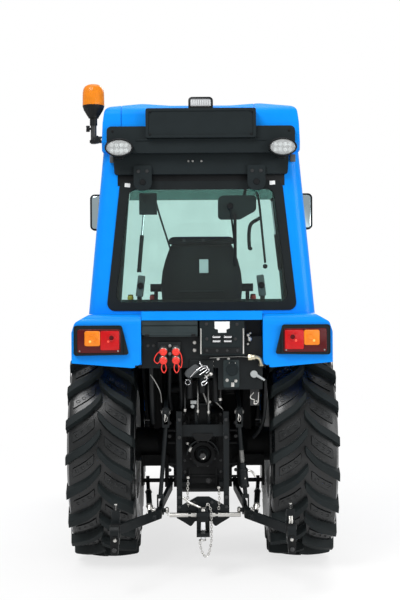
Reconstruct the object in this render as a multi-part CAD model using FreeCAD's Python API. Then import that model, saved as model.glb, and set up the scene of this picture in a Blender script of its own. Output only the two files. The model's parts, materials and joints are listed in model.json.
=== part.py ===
import FreeCAD, Part
import math
import os

from FreeCAD import Vector

# Compact farm tractor with a cab. Millimetres, +Y is forward, +X is the tractor's right,
# +Z is up and Z = 0 is the ground. Everything is laid out from the rear axle's line at Y = 0
# and moved along Y when it is saved, so that the origin is at the middle of the length.

# ---- wheels ---------------------------------------------------------------------------------
WHEELBASE = 1870.0
REAR_TRACK = 1040.0
REAR_TYRE_RADIUS = 605.0
REAR_TYRE_WIDTH = 350.0
REAR_RIM_RADIUS = 305.0
REAR_RIM_WIDTH = 303.0
REAR_LUGS = 22
REAR_LUG_HEIGHT = 36.0
REAR_LUG_FOOT = 48.0
REAR_LUG_TIP = 34.0
REAR_LUG_SWEEP = 139.0
REAR_HUB_RADIUS = 120.0
REAR_DISC_INSET = 58.0
FRONT_TRACK = 1060.0
FRONT_TYRE_RADIUS = 415.0
FRONT_TYRE_WIDTH = 210.0
FRONT_RIM_RADIUS = 203.0
FRONT_RIM_WIDTH = 176.0
FRONT_LUGS = 16
FRONT_LUG_HEIGHT = 24.0
FRONT_LUG_FOOT = 33.0
FRONT_LUG_TIP = 23.0
FRONT_LUG_SWEEP = 84.0
FRONT_HUB_RADIUS = 78.0
FRONT_DISC_INSET = 8.0
LUG_OVERLAP = 6.0
LUG_FALL = 14.0
RIM_WALL = 9.0
RIM_FLANGE = 24.0
RIM_WELL = 32.0
DISC_WALL = 12.0
DISC_DISH = 44.0

# ---- clearances -----------------------------------------------------------------------------
SEAT_GAP = 0.3
JOINT_GAP = 0.6

# ---- gearbox and rear axle ------------------------------------------------------------------
HOUSING_REAR = -330.0
HOUSING_FRONT = 1000.0
HOUSING_WIDTH = 290.0
HOUSING_WAIST = 230.0
HOUSING_BOTTOM = 385.0
HOUSING_TOP = 830.0
HOUSING_STEP = 140.0
COVER_HALF = 110.0
COVER_DEPTH = 22.0
LIFT_COVER_HALF = 105.0
TRUMPET_RADIUS = 92.0
TRUMPET_FLARE = 150.0
HUB_FLANGE_RADIUS = 118.0
REAR_SHAFT_RADIUS = 45.0
REAR_SHAFT_INSET = 70.0
CAB_POST_X = 245.0
CAB_POST_WIDTH = 46.0
FRONT_POST_X = 80.0
FRONT_POST_Y = 860.0
FRONT_POST_RADIUS = 28.0

# ---- front frame, engine and front axle -----------------------------------------------------
FRAME_WIDTH = 250.0
FRAME_RAIL = 22.0
FRAME_BOTTOM = 520.0
FRAME_TOP = 640.0
FRONT_END = 2450.0
BRACKET_HALF = 300.0
BRACKET_DEPTH = 70.0
ENGINE_REAR = 1040.0
ENGINE_FRONT = 1700.0
ENGINE_WIDTH = 330.0
ENGINE_HEIGHT = 480.0
RADIATOR_Y = 1860.0
RADIATOR_DEPTH = 70.0
RADIATOR_HALF = 200.0
RADIATOR_FOOT = 215.0
RADIATOR_HEIGHT = 325.0
BATTERY_Y = 1980.0
BATTERY_LENGTH = 160.0
BATTERY_HALF = 110.0
BATTERY_HEIGHT = 240.0
KINGPIN_X = 400.0
KINGPIN_RISE = 20.0
KINGPIN_SPAN = 150.0
FORK_PLATE = 20.0
FORK_HALF = 18.0
BEAM_HALF = 45.0
BEAM_HEIGHT = 84.0
KNUCKLE_RADIUS = 42.0
FRONT_SHAFT_RADIUS = 32.0
STEER_ARM = 140.0
STEER_ARM_INSET = 34.0
STEER_ARM_WIDTH = 24.0
STEER_ARM_DEPTH = 18.0
TIE_ROD_RADIUS = 12.0

# ---- cab ------------------------------------------------------------------------------------
CAB_REAR = -465.0
CAB_FRONT = 930.0
CAB_FRONT_LEAN = 90.0
CAB_BASE = 1330.0
CAB_TOP = 2160.0
CAB_HALF_BASE = 583.0
CAB_HALF_TOP = 503.0
CAB_REAR_CORNER = 60.0
PILLAR = 46.0
GLASS = 6.0
GLASS_INSET = 12.0
REAR_GLASS_INSET = 8.0
QUARTER_POST = 80.0
WINDOW_SILL = 16.0
WINDOW_HEADER = 150.0
WINDOW_POST = 94.0
WINDOW_POST_TOP = 104.0
SEAL_WIDTH = 44.0
SEAL_PROUD = 4.0
SEAL_DEPTH = 34.0
SCREEN_SILL = 40.0
HINGE_COVER_XS = (-296.0, 281.0)
HINGE_COVER_HALF = 46.0
HINGE_COVER_FOOT = 203.0
HINGE_COVER_HEAD = 76.0
WIPER_X = 147.0
WIPER_DROP = 283.0
WIPER_TIP_X = 172.0
WIPER_TIP_DROP = 494.0
WIPER_BLADE_UP = 170.0
WIPER_BLADE_DOWN = 90.0
STRUT_HEAD_DROP = 247.0
STRUT_FOOT_DROP = 606.0
STRUT_XS = ((364.0, 404.0), (-290.0, -322.0))
DOOR_REAR = 110.0
DOOR_FRONT = 800.0
DOOR_FOOT = 874.0
DOOR_GAP = 9.0
DOOR_HEADER = 56.0
DOOR_FRAME = 48.0
DOOR_LIFT = 16.0
DOOR_THICKNESS = 34.0
HINGE_PIN = 5.0
HINGE_RADIUS = 10.0
HINGE_OUT = 14.0
HINGE_BACK = 4.0
HINGE_HALF = 44.0
HINGE_EAR = 14.0
HINGE_HEIGHTS = (1480.0, 1960.0)
HANDLE_DROP = 190.0
HANDLE_LENGTH = 120.0
SILL = 700.0
FLOOR_THICKNESS = 40.0
FLOOR_CLEARANCE = 20.0
PLATFORM = 1165.0
PLATFORM_FRONT = 250.0
TUB_HALF = 304.0
TUB_WALL = 22.0
TUB_REAR_GAP = 5.0
FIREWALL = 30.0
ROOF_HEIGHT = 245.0
ROOF_OVERHANG_REAR = 55.0
ROOF_OVERHANG_FRONT = 80.0
ROOF_RIDGE_X = 300.0
ROOF_VALLEY_X = 150.0
ROOF_VALLEY = 14.0
ROOF_SHOULDER = 22.0
ROOF_SEAM = 5.0
ROOF_SEAMS = (-402.0, 272.0)

# ---- black panel and lamps on the roof ------------------------------------------------------
PANEL_HALF = 475.0
PANEL_DROP = 18.0
PANEL_HEIGHT = 135.0
PANEL_DEPTH = 22.0
PLATE_HALF = 277.0
PLATE_RISE = 55.0
PLATE_HEIGHT = 148.0
PLATE_DEPTH = 28.0
TRAY_HALF = 448.0
TRAY_HEIGHT = 120.0
TRAY_DEPTH = 30.0
LAMP_WIDE = 142.0
LAMP_HIGH = 92.0
LAMP_DEPTH = 46.0
LAMP_RIM = 7.0
LAMP_X = 410.0
LAMP_RISE = 4.0
FRONT_LAMP_X = 330.0
FRONT_LAMP_RISE = 115.0
PLATE_LAMP_HALF = 62.0
PLATE_LAMP_HEIGHT = 56.0
BEACON_X = 544.0
BEACON_POLE_RADIUS = 15.0
BEACON_POLE = 148.0
BEACON_ARM_RISE = 36.0
BEACON_RADIUS = 56.0
BEACON_BOWL = 65.0
BEACON_DOME = 97.0

# ---- fenders --------------------------------------------------------------------------------
FENDER_HALF = 651.0
FENDER_REAR = -605.0
FENDER_LIP = 1059.0
FENDER_LIP_SLANT = 29.0
FENDER_WALL = 26.0
FENDER_SKIRT = 44.0
FENDER_CHAMFER = 85.0
FENDER_CREST = 200.0
FENDER_BEND_Y = 575.0
FENDER_BEND_Z = 1050.0
FENDER_FRONT = 700.0
FENDER_SHOULDER = 800.0
FENDER_FOOT = 720.0
TAIL_LAMP_RISE = 81.0
TAIL_LAMP_IN = 404.0
TAIL_LAMP_OUT = 618.0
TAIL_LAMP_HEIGHT = 118.0
PLAQUE_IN = 364.0
PLAQUE_OUT = 638.0
PLAQUE_SLANT = 36.0
PLAQUE_HEAD = 18.0
PLAQUE_FOOT = 10.0
TAIL_LAMP_DEPTH = 16.0
BEZEL_DEPTH = 18.0

# ---- hood -----------------------------------------------------------------------------------
HOOD_REAR = 955.0
HOOD_NOSE = 2320.0
HOOD_HALF = 300.0
HOOD_RISE = 60.0
HOOD_DROP = 125.0
HOOD_BOTTOM = 880.0
HOOD_WALL = 14.0
HOOD_HINGE_BACK = 12.0
HOOD_HINGE_DROP = 30.0
HOOD_HINGE_X = 150.0
HOOD_EAR = 11.0
HOOD_LEAN = 60.0
MOUTH_HALF = 190.0
MOUTH_FLOOR = 20.0
MOUTH_HEIGHT = 250.0
GRILLE_DEPTH = 18.0
GRILLE_SLATS = 7
HEADLIGHT_WIDTH = 92.0
HEADLIGHT_HEIGHT = 64.0
VENT_SLOTS = 6
VENT_PITCH = 34.0
VENT_HEIGHT = 14.0

# ---- three-point hitch and drawbar ----------------------------------------------------------
HITCH_PIVOT_Y = -100.0
LINK_PIVOT_Z = 420.0
LINK_PIVOT_X = 172.0
ROCKSHAFT_Z = 920.0
ROCKSHAFT_RADIUS = 33.0
LIFT_REACH = 380.0
LIFT_DROP = 90.0
LIFT_ARM = 20.0
ARM_X = 187.0
LINK_X = 217.0
LINK_DEPTH = 46.0
LINK_WIDTH = 18.0
HOOK_X = 414.0
HOOK_Y = -900.0
HOOK_Z = 305.0
HOOK_RADIUS = 52.0
HOOK_BORE = 29.0
HOOK_WIDTH = 40.0
PIN_RADIUS = 11.0
PIN_END = 22.0
ROD_RADIUS = 11.0
FORK_CHEEK = 7.0
FORK_LENGTH = 78.0
TURNBUCKLE_RADIUS = 22.0
TURNBUCKLE_LENGTH = 97.0
STAY_X = 300.0
STAY_REAR_X = 264.0
STAY_REAR_Y = -600.0
STAY_REAR_Z = 318.0
STAY_RADIUS = 10.0
RAIL_IN = 106.0
RAIL_OUT = 134.0
RAIL_REAR = -470.0
RAIL_DEPTH = 40.0
RAIL_BOTTOM = 290.0
RAIL_TOP = 830.0
PTO_Z = 599.0
PTO_RADIUS = 17.5
GUARD_RADIUS = 84.0
RAIL_FEET_ZS = (440.0, 700.0)
DRAW_BAR_Z = 310.0
DRAW_BAR_RADIUS = 10.0
CLEVIS_HALF = 33.0
CLEVIS_LENGTH = 150.0
CLEVIS_BOTTOM = 222.0
CLEVIS_CHEEK = 18.0
CLEVIS_GAP = 84.0
CLEVIS_PIN_RADIUS = 12.0
TOP_LINK_Z = 860.0

# ---- equipment behind the cab ---------------------------------------------------------------
PLATE_Y = -550.0
SHELF_Z = 1205.0
LOWER_PLATE_BOTTOM = 950.0
UPPER_PLATE_Y = -490.0
PLATE_THICKNESS = 10.0
EQUIPMENT_FACE = -596.0
EQUIPMENT_TOP = 1298.0
TOOL_BOX_HEIGHT = 80.0
TOOL_BOX_RIGHT = -22.0
VALVE_BOX_LEFT = -12.0
VALVE_BOX_RIGHT = 212.0
VALVE_BOX_BOTTOM = 1122.0
COUPLER_XS = (-193.0, -130.0)
COUPLER_ZS = (1100.0, 1143.0)
COUPLER_RADIUS = 17.0
COUPLER_LENGTH = 46.0
COUPLER_BLOCK_LEFT = 29.0
COUPLER_BLOCK_RIGHT = 22.0
SOCKET_X = 150.0
SOCKET_Z = 1053.0
SOCKET_RADIUS = 32.0

# ---- inside the cab, mirrors, tank and steps ------------------------------------------------
SEAT_HALF = 235.0
SEAT_REAR = -60.0
SEAT_FRONT = 400.0
SEAT_BASE_HALF = 170.0
SEAT_BASE_HEIGHT = 76.7
CUSHION = 86.0
BACK_HALF = 222.0
BACK_TOP = 1745.0
BACK_DEPTH = 90.0
ARMREST_X = 250.0
ARMREST_Z = 1490.0
WHEEL_CENTRE = (0.0, 560.0, 1400.0)
WHEEL_TILT = 40.0
WHEEL_RADIUS = 180.0
WHEEL_GRIP = 14.0
DASH_HALF = 190.0
CONSOLE_IN = 312.0
CONSOLE_OUT = 420.0
CONSOLE_REAR = 40.0
CONSOLE_FRONT = 260.0
CONSOLE_HEIGHT = 32.0
LEVER_Y = 90.0
LEVER_FOOT_X = 330.0
LEVER_RISE = 52.0
LEVER_LEAN = 20.0
KNOB_XS_RIGHT = (287.0,)
KNOB_XS_LEFT = (275.0, 399.0)
KNOB_RADIUS = 14.0
MIRROR_X = 657.0
MIRROR_Y = 960.0
MIRROR_Z = 1966.0
MIRROR_WIDTH = 114.0
MIRROR_HEIGHT = 232.0
TANK_REAR = 300.0
TANK_FRONT = 700.0
TANK_BOTTOM = 470.0
TANK_HALF = 322.0
STEP_REAR = 740.0
STEP_DEPTH = 160.0
STEP_X = 440.0
STEP_WIDTH = 160.0
STEP_Z = 440.0
STEP_PLATE = 12.0

# ---- lines that follow from the sizes above --------------------------------------------------
REAR_END = HOOK_Y - 30.0
ORIGIN_Y = (REAR_END + FRONT_END) / 2
REAR_AXLE_Z = REAR_TYRE_RADIUS
FRONT_AXLE_Z = FRONT_TYRE_RADIUS
REAR_HUB_X = REAR_TRACK / 2 - REAR_SHAFT_INSET
FRONT_HUB_X = FRONT_TRACK / 2 - 20.0
KINGPIN_Z = FRONT_AXLE_Z + KINGPIN_RISE
HOUSING_FRONT_TOP = SILL - FLOOR_THICKNESS - FLOOR_CLEARANCE
COVER_REAR = HOUSING_REAR - COVER_DEPTH
CAB_SLOPE = (CAB_HALF_BASE - CAB_HALF_TOP) / (CAB_TOP - CAB_BASE)
SCREEN_SLOPE = CAB_FRONT_LEAN / (CAB_TOP - CAB_BASE)
SIDE_IN = CAB_HALF_TOP - 100.0
SIDE_OUT = CAB_HALF_BASE + 120.0
FENDER_TOP = CAB_BASE
FENDER_INNER = TUB_HALF + SEAT_GAP
REAR_GLASS = CAB_REAR + REAR_GLASS_INSET
ROOF_TOP = CAB_TOP + ROOF_HEIGHT
SEAT_FLOOR = PLATFORM + TUB_WALL + SEAT_GAP
SEAT_HEIGHT = SEAT_FLOOR + SEAT_BASE_HEIGHT
ROOF_REAR = CAB_REAR - ROOF_OVERHANG_REAR
ROOF_FRONT = CAB_FRONT + ROOF_OVERHANG_FRONT
PANEL_REAR = ROOF_REAR - SEAT_GAP - PANEL_DEPTH
HOOD_TOP = CAB_BASE + HOOD_RISE
HOOD_HINGE_Y = HOOD_REAR + HOOD_HINGE_BACK
HOOD_HINGE_Z = HOOD_TOP - HOOD_HINGE_DROP
RAIL_FRONT = RAIL_REAR + RAIL_DEPTH


def box(x0, x1, y0, y1, z0, z1):
    return Part.makeBox(x1 - x0, y1 - y0, z1 - z0, Vector(x0, y0, z0))


def rod(start, end, radius):
    start = Vector(*start)
    end = Vector(*end)
    return Part.makeCylinder(radius, (end - start).Length, start, end - start)


def tube(start, end, radius, bore):
    return rod(start, end, radius).cut(rod(start, end, bore))


def outline(points, place):
    """A closed wire through (u, v) or (u, v, radius) corners, each radius rounding its corner."""
    count = len(points)
    corners = [Vector(p[0], p[1], 0) for p in points]
    edges = []
    ends = []
    for i, point in enumerate(points):
        radius = point[2] if len(point) > 2 else 0
        here = corners[i]
        if not radius:
            ends.append((here, None, here))
            continue
        back = (corners[i - 1] - here).normalize()
        ahead = (corners[(i + 1) % count] - here).normalize()
        half = back.getAngle(ahead) / 2
        reach = radius / math.tan(half)
        middle = here + (back + ahead).normalize() * (radius / math.sin(half) - radius)
        ends.append((here + back * reach, middle, here + ahead * reach))
    for i, (first, middle, last) in enumerate(ends):
        if middle is not None:
            edges.append(Part.Arc(place(first), place(middle), place(last)).toShape())
        start = ends[(i + 1) % count][0]
        if (start - last).Length > 1e-6:
            edges.append(Part.LineSegment(place(last), place(start)).toShape())
    return Part.Wire(edges)


def side_plate(points, x0, x1):
    """A plate whose outline is given as (y, z) corners, from x0 to x1."""
    wire = outline(points, lambda p: Vector(x0, p.x, p.y))
    return Part.Face(wire).extrude(Vector(x1 - x0, 0, 0))


def front_plate(points, y0, y1):
    """A plate whose outline is given as (x, z) corners, from y0 to y1."""
    wire = outline(points, lambda p: Vector(p.x, y0, p.y))
    return Part.Face(wire).extrude(Vector(0, y1 - y0, 0))


def flat_plate(points, z0, z1):
    """A plate whose outline is given as (x, y) corners, from z0 to z1."""
    wire = outline(points, lambda p: Vector(p.x, p.y, z0))
    return Part.Face(wire).extrude(Vector(0, 0, z1 - z0))


def offset_line(points, distance):
    """An open line of corners moved to its right-hand side, its corners kept sharp or rounded."""
    normals = []
    for first, last in zip(points, points[1:]):
        run = Vector(last[0] - first[0], last[1] - first[1], 0).normalize()
        normals.append(Vector(run.y, -run.x, 0))
    moved = []
    for i, point in enumerate(points):
        both_sides = normals[max(i - 1, 0)] + normals[min(i, len(normals) - 1)]
        shift = both_sides * (2 * distance / both_sides.Length ** 2)
        moved.append((point[0] + shift.x, point[1] + shift.y) + tuple(point[2:]))
    return moved


def rounded_rectangle(half, low, high, radius):
    return [(-half, low, radius), (-half, high, radius), (half, high, radius), (half, low, radius)]


def joined(*shapes):
    shapes = list(shapes)
    return shapes[0].multiFuse(shapes[1:]).removeSplitter()


def mirrored(shape):
    return shape.mirror(Vector(0, 0, 0), Vector(1, 0, 0))


def both(*shapes):
    """The right-hand shapes together with their mirror images on the left."""
    return list(shapes) + [mirrored(shape) for shape in shapes]


def moved_to(shape, x, y, z):
    shape = shape.copy()
    shape.translate(Vector(x, y, z))
    return shape


def save(name, *shapes):
    solids = []
    for shape in shapes:
        solids.extend(shape.Solids)
    result = solids[0].copy() if len(solids) == 1 else Part.makeCompound(solids)
    result.translate(Vector(0, -ORIGIN_Y, 0))
    result.exportStep("parts/" + name + ".step")


# ---- wheels -----------------------------------------------------------------------------------
def on_tyre(x, angle, radius):
    """A point of the tyre: the angle grows upwards from the rear of the wheel."""
    return Vector(x, -radius * math.cos(angle), radius * math.sin(angle))


def facet_ring(profile, sides):
    """A ring of flat facets about the X axis, from an (x, radius) profile."""
    faces = []
    for i, (x0, r0) in enumerate(profile):
        x1, r1 = profile[(i + 1) % len(profile)]
        for k in range(sides):
            a = 2 * math.pi * k / sides
            b = 2 * math.pi * (k + 1) / sides
            corners = [on_tyre(x0, a, r0), on_tyre(x0, b, r0), on_tyre(x1, b, r1), on_tyre(x1, a, r1)]
            faces.append(Part.Face(Part.makePolygon(corners + corners[:1])))
    ring = Part.Solid(Part.makeShell(faces))
    if ring.Volume < 0:
        ring.reverse()
    return ring


def tyre(radius, width, rim_radius, rim_width, lugs, lug):
    """A field tyre about the X axis, its lugs in chevrons that point up behind the axle.

    A lug is given as its height, its width at the foot and at the top, and how far its outer
    end trails round the tyre.
    """
    lug_height, lug_foot, lug_tip, lug_sweep = lug
    tread = radius - lug_height
    wall = tread - rim_radius
    half = width / 2
    flat = math.cos(math.pi / lugs)
    bead = rim_width / 2 - SEAT_GAP
    shoulder = tread - 0.1 * wall
    profile = [(bead, (rim_radius + SEAT_GAP) / flat), (bead, (rim_radius + RIM_FLANGE + 2) / flat)]
    profile += [(half, rim_radius + 0.5 * wall), (0.9 * half, shoulder)]
    ring = facet_ring(profile + [(-x, r) for x, r in reversed(profile)], lugs)
    foot = shoulder * flat - LUG_OVERLAP
    bars = []
    for side in (-1, 1):
        for k in range(lugs):
            start = 2 * math.pi * (k + 0.25 * side) / lugs
            corners = []
            for spread, height in ((-lug_foot, foot), (lug_foot, foot), (lug_tip, radius),
                                   (-lug_tip, radius)):
                corners.append(on_tyre(-LUG_OVERLAP * side, start + spread / 2 / height, height))
            outer = on_tyre(0.985 * half * side, start - lug_sweep / radius, radius - LUG_FALL)
            run = outer - on_tyre(-LUG_OVERLAP * side, start, radius)
            bars.append(Part.Face(Part.makePolygon(corners + corners[:1])).extrude(run))
    return ring.multiFuse(bars)


def rim(rim_radius, rim_width, hub_radius, disc_inset, bore):
    """A drop-centre rim with a dished disc, the disc's outer side towards +X."""
    half = rim_width / 2
    flange = rim_radius + RIM_FLANGE
    well = rim_radius - RIM_WELL
    inside = [(-half - RIM_WALL, flange), (-half - RIM_WALL, rim_radius - RIM_WALL)]
    inside += [(-0.55 * half, rim_radius - RIM_WALL), (-0.35 * half, well - RIM_WALL)]
    tread = [(-half, flange), (-half, rim_radius), (-0.6 * half, rim_radius), (-0.4 * half, well)]
    section = inside + [(-x, r) for x, r in reversed(inside)]
    section += [(-x, r) for x, r in tread] + list(reversed(tread))
    barrel = Part.makePolygon([Vector(x, 0, r) for x, r in section + section[:1]])
    barrel = Part.Face(barrel).revolve(Vector(0, 0, 0), Vector(1, 0, 0), 360)
    middle = -disc_inset
    edge = middle + DISC_DISH
    front = [(middle, bore), (middle, hub_radius), (edge, well - 40), (edge, well - 5)]
    disc = front + [(x - DISC_WALL, r) for x, r in reversed(front)]
    disc = Part.makePolygon([Vector(x, 0, r) for x, r in disc + disc[:1]])
    disc = Part.Face(disc).revolve(Vector(0, 0, 0), Vector(1, 0, 0), 360)
    for k in range(6):
        angle = math.pi * (k + 0.5) / 3
        reach = (hub_radius + well) / 2
        y = reach * math.cos(angle)
        z = reach * math.sin(angle)
        disc = disc.cut(rod((-half, y, z), (half, y, z), (well - hub_radius) * 0.14))
    return joined(barrel, disc)


def save_wheel(place, rubber, steel, x, y, z):
    for name, shape in (("tyre", rubber), ("rim", steel)):
        right = moved_to(shape, x, y, z)
        save(place + "_" + name + "_right", right)
        save(place + "_" + name + "_left", mirrored(right))


def rear_wheels():
    lug = (REAR_LUG_HEIGHT, REAR_LUG_FOOT, REAR_LUG_TIP, REAR_LUG_SWEEP)
    rubber = tyre(REAR_TYRE_RADIUS, REAR_TYRE_WIDTH, REAR_RIM_RADIUS, REAR_RIM_WIDTH, REAR_LUGS, lug)
    bore = REAR_SHAFT_RADIUS + SEAT_GAP
    steel = rim(REAR_RIM_RADIUS, REAR_RIM_WIDTH, REAR_HUB_RADIUS, REAR_DISC_INSET, bore)
    save_wheel("rear", rubber, steel, REAR_TRACK / 2, 0, REAR_AXLE_Z)


def front_wheels():
    lug = (FRONT_LUG_HEIGHT, FRONT_LUG_FOOT, FRONT_LUG_TIP, FRONT_LUG_SWEEP)
    rubber = tyre(FRONT_TYRE_RADIUS, FRONT_TYRE_WIDTH, FRONT_RIM_RADIUS, FRONT_RIM_WIDTH, FRONT_LUGS, lug)
    bore = FRONT_SHAFT_RADIUS + SEAT_GAP
    steel = rim(FRONT_RIM_RADIUS, FRONT_RIM_WIDTH, FRONT_HUB_RADIUS, FRONT_DISC_INSET, bore)
    save_wheel("front", rubber, steel, FRONT_TRACK / 2, WHEELBASE, FRONT_AXLE_Z)


# ---- gearbox, frame and engine ----------------------------------------------------------------
def gearbox():
    """Gearbox and rear axle casting: centre housing, lift cover, trumpets, hub shafts and ears."""
    half = HOUSING_WIDTH / 2
    waist = HOUSING_WAIST / 2
    low = HOUSING_BOTTOM
    high = HOUSING_TOP
    profile = [(HOUSING_REAR, low + 25, 25), (HOUSING_REAR + 60, low, 25), (300, low, 60),
               (420, low + 60, 60)]
    profile += [(HOUSING_FRONT, low + 60), (HOUSING_FRONT, HOUSING_FRONT_TOP)]
    profile += [(HOUSING_STEP + 60, HOUSING_FRONT_TOP, 40), (HOUSING_STEP, high, 60),
                (HOUSING_REAR, high, 40)]
    casting = side_plate(profile, -waist, waist)
    rear = HOUSING_REAR + 40
    belly = side_plate([(rear, low + 60, 30), (HOUSING_STEP, low + 60, 30), (HOUSING_STEP, high - 60, 30),
                        (rear, high - 60, 30)], -half, half)
    cover = front_plate(rounded_rectangle(COVER_HALF, low + 60, high - 60, 40), COVER_REAR, HOUSING_REAR + 10)
    collar = tube((0, COVER_REAR - 26, PTO_Z), (0, COVER_REAR + 2, PTO_Z), 64, 46)
    lift_cover = box(-LIFT_COVER_HALF, LIFT_COVER_HALF, -220, 120, high - 20, ROCKSHAFT_Z + 50)
    bore = rod((-200, HITCH_PIVOT_Y, ROCKSHAFT_Z), (200, HITCH_PIVOT_Y, ROCKSHAFT_Z), ROCKSHAFT_RADIUS + 1)
    inner = half - 20
    flare = Part.makeCone(TRUMPET_FLARE, TRUMPET_RADIUS, 120, Vector(inner, 0, REAR_AXLE_Z), Vector(1, 0, 0))
    hub = REAR_HUB_X - 6
    barrel = rod((inner + 100, 0, REAR_AXLE_Z), (hub - 20, 0, REAR_AXLE_Z), TRUMPET_RADIUS)
    flange = rod((hub - 40, 0, REAR_AXLE_Z), (hub, 0, REAR_AXLE_Z), HUB_FLANGE_RADIUS)
    shaft = rod((hub - 30, 0, REAR_AXLE_Z), (hub + 50, 0, REAR_AXLE_Z), REAR_SHAFT_RADIUS)
    post = box(CAB_POST_X - CAB_POST_WIDTH / 2, CAB_POST_X + CAB_POST_WIDTH / 2, -34, 34,
               REAR_AXLE_Z + 60, PLATFORM - SEAT_GAP)
    front_post = rod((FRONT_POST_X, FRONT_POST_Y, HOUSING_FRONT_TOP - 2),
                     (FRONT_POST_X, FRONT_POST_Y, SILL - FLOOR_THICKNESS - SEAT_GAP), FRONT_POST_RADIUS)
    rear_y = HITCH_PIVOT_Y - 30
    front_y = HITCH_PIVOT_Y + 60
    bottom = LINK_PIVOT_Z - 32
    top = PTO_Z - 39
    cheek = LINK_WIDTH / 2 + 5
    outer_ear = box(LINK_PIVOT_X + cheek, LINK_PIVOT_X + cheek + 20, rear_y, front_y, bottom, top)
    inner_ear = box(inner, LINK_PIVOT_X - cheek, rear_y, front_y, bottom, top)
    stay_ear = box(STAY_X + 22, STAY_X + 34, rear_y, front_y - 10, bottom + 6, top)
    bridge = box(inner, STAY_X + 34, front_y - 70, front_y - 10, top - 60, top)
    pin = rod((inner, HITCH_PIVOT_Y, LINK_PIVOT_Z), (STAY_X + 34, HITCH_PIVOT_Y, LINK_PIVOT_Z), PIN_RADIUS)
    sides = both(flare, barrel, flange, shaft, post, front_post, outer_ear, inner_ear, stay_ear, bridge, pin)
    save("gearbox", joined(casting, belly, cover, collar, lift_cover.cut(bore), *sides))


def front_frame():
    """Rails that carry the engine and the radiator, with the weight bracket across their front."""
    half = FRAME_WIDTH / 2
    low = FRAME_BOTTOM + 10
    nose = FRONT_END - BRACKET_DEPTH
    rail = side_plate([(HOUSING_FRONT, low + 20), (ENGINE_FRONT, FRAME_BOTTOM), (nose, FRAME_BOTTOM, 30),
                       (nose, FRAME_TOP), (HOUSING_FRONT, FRAME_TOP)], half - FRAME_RAIL, half)
    pieces = both(rail)
    for y in (HOUSING_FRONT, WHEELBASE - 80, WHEELBASE + 180):
        pieces.append(box(-half, half, y, y + 24, low, FRAME_TOP))
    bracket = flat_plate([(-BRACKET_HALF, nose + 10, 20), (-BRACKET_HALF + 60, nose),
                          (BRACKET_HALF - 60, nose), (BRACKET_HALF, nose + 10, 20),
                          (BRACKET_HALF, FRONT_END, 12), (-BRACKET_HALF, FRONT_END, 12)], low,
                         FRAME_TOP)
    pocket = box(-BRACKET_HALF + 50, BRACKET_HALF - 50, nose + 20, FRONT_END - 18, low + 20, FRAME_TOP + 10)
    save("front_frame", joined(bracket.cut(pocket), *pieces))


def engine():
    """Engine with its head, sump, flywheel housing, manifold, filters, alternator and cooling fan."""
    half = ENGINE_WIDTH / 2
    top = FRAME_TOP + ENGINE_HEIGHT
    head_z = top - 120
    block = box(-half + 30, half - 30, ENGINE_REAR + 40, ENGINE_FRONT - 20, FRAME_TOP, head_z)
    foot = box(-half, half, ENGINE_REAR + 40, ENGINE_FRONT - 20, FRAME_TOP, FRAME_TOP + 60)
    head = box(-half + 60, half - 60, ENGINE_REAR + 60, ENGINE_FRONT - 40, head_z, top - 40)
    cover = side_plate([(ENGINE_REAR + 80, top - 40), (ENGINE_REAR + 80, top, 24),
                        (ENGINE_FRONT - 60, top, 24), (ENGINE_FRONT - 60, top - 40)], -60, 60)
    bell = rod((0, ENGINE_REAR, FRAME_TOP + 190), (0, ENGINE_REAR + 60, FRAME_TOP + 190), 180)
    sump = box(-half + 65, half - 65, ENGINE_REAR + 60, ENGINE_FRONT - 60, FRAME_BOTTOM + 30, FRAME_TOP + 1)
    manifold = rod((half - 20, ENGINE_REAR + 100, head_z + 20),
                   (half - 20, ENGINE_FRONT - 90, head_z + 20), 34)
    side_x = -half - 4
    low = FRAME_TOP + 90
    filters = [rod((side_x, y, low), (side_x, y, low + 160), 42) for y in (ENGINE_REAR + 180,
                                                                           ENGINE_REAR + 290)]
    filter_head = box(side_x - 42, side_x + 44, ENGINE_REAR + 130, ENGINE_REAR + 340, low + 150, low + 185)
    drive = (half + 10, ENGINE_FRONT - 40, low + 160)
    alternator = rod((drive[0], ENGINE_FRONT - 190, drive[2]), drive, 56)
    fan_z = FRAME_TOP + 330
    hub = rod((0, ENGINE_FRONT - 30, fan_z), (0, ENGINE_FRONT + 90, fan_z), 36)
    pulley = rod((0, ENGINE_FRONT - 10, fan_z), (0, ENGINE_FRONT + 20, fan_z), 70)
    fan = rod((0, ENGINE_FRONT + 66, fan_z), (0, ENGINE_FRONT + 78, fan_z), 130)
    save("engine_block", joined(block, foot, head, cover, bell, sump, manifold, filter_head, alternator, hub,
                                pulley, fan, *filters))
    foot_z = FRAME_TOP + RADIATOR_FOOT
    front = RADIATOR_Y + RADIATOR_DEPTH
    core = box(-RADIATOR_HALF, RADIATOR_HALF, RADIATOR_Y, front, foot_z, foot_z + RADIATOR_HEIGHT)
    stand = box(-RADIATOR_HALF + 80, RADIATOR_HALF - 80, RADIATOR_Y - 10, front + 10, FRAME_TOP, foot_z)
    battery = box(-BATTERY_HALF, BATTERY_HALF, BATTERY_Y, BATTERY_Y + BATTERY_LENGTH,
                  FRAME_TOP, FRAME_TOP + BATTERY_HEIGHT)
    save("radiator", joined(core, stand), battery)


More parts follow.
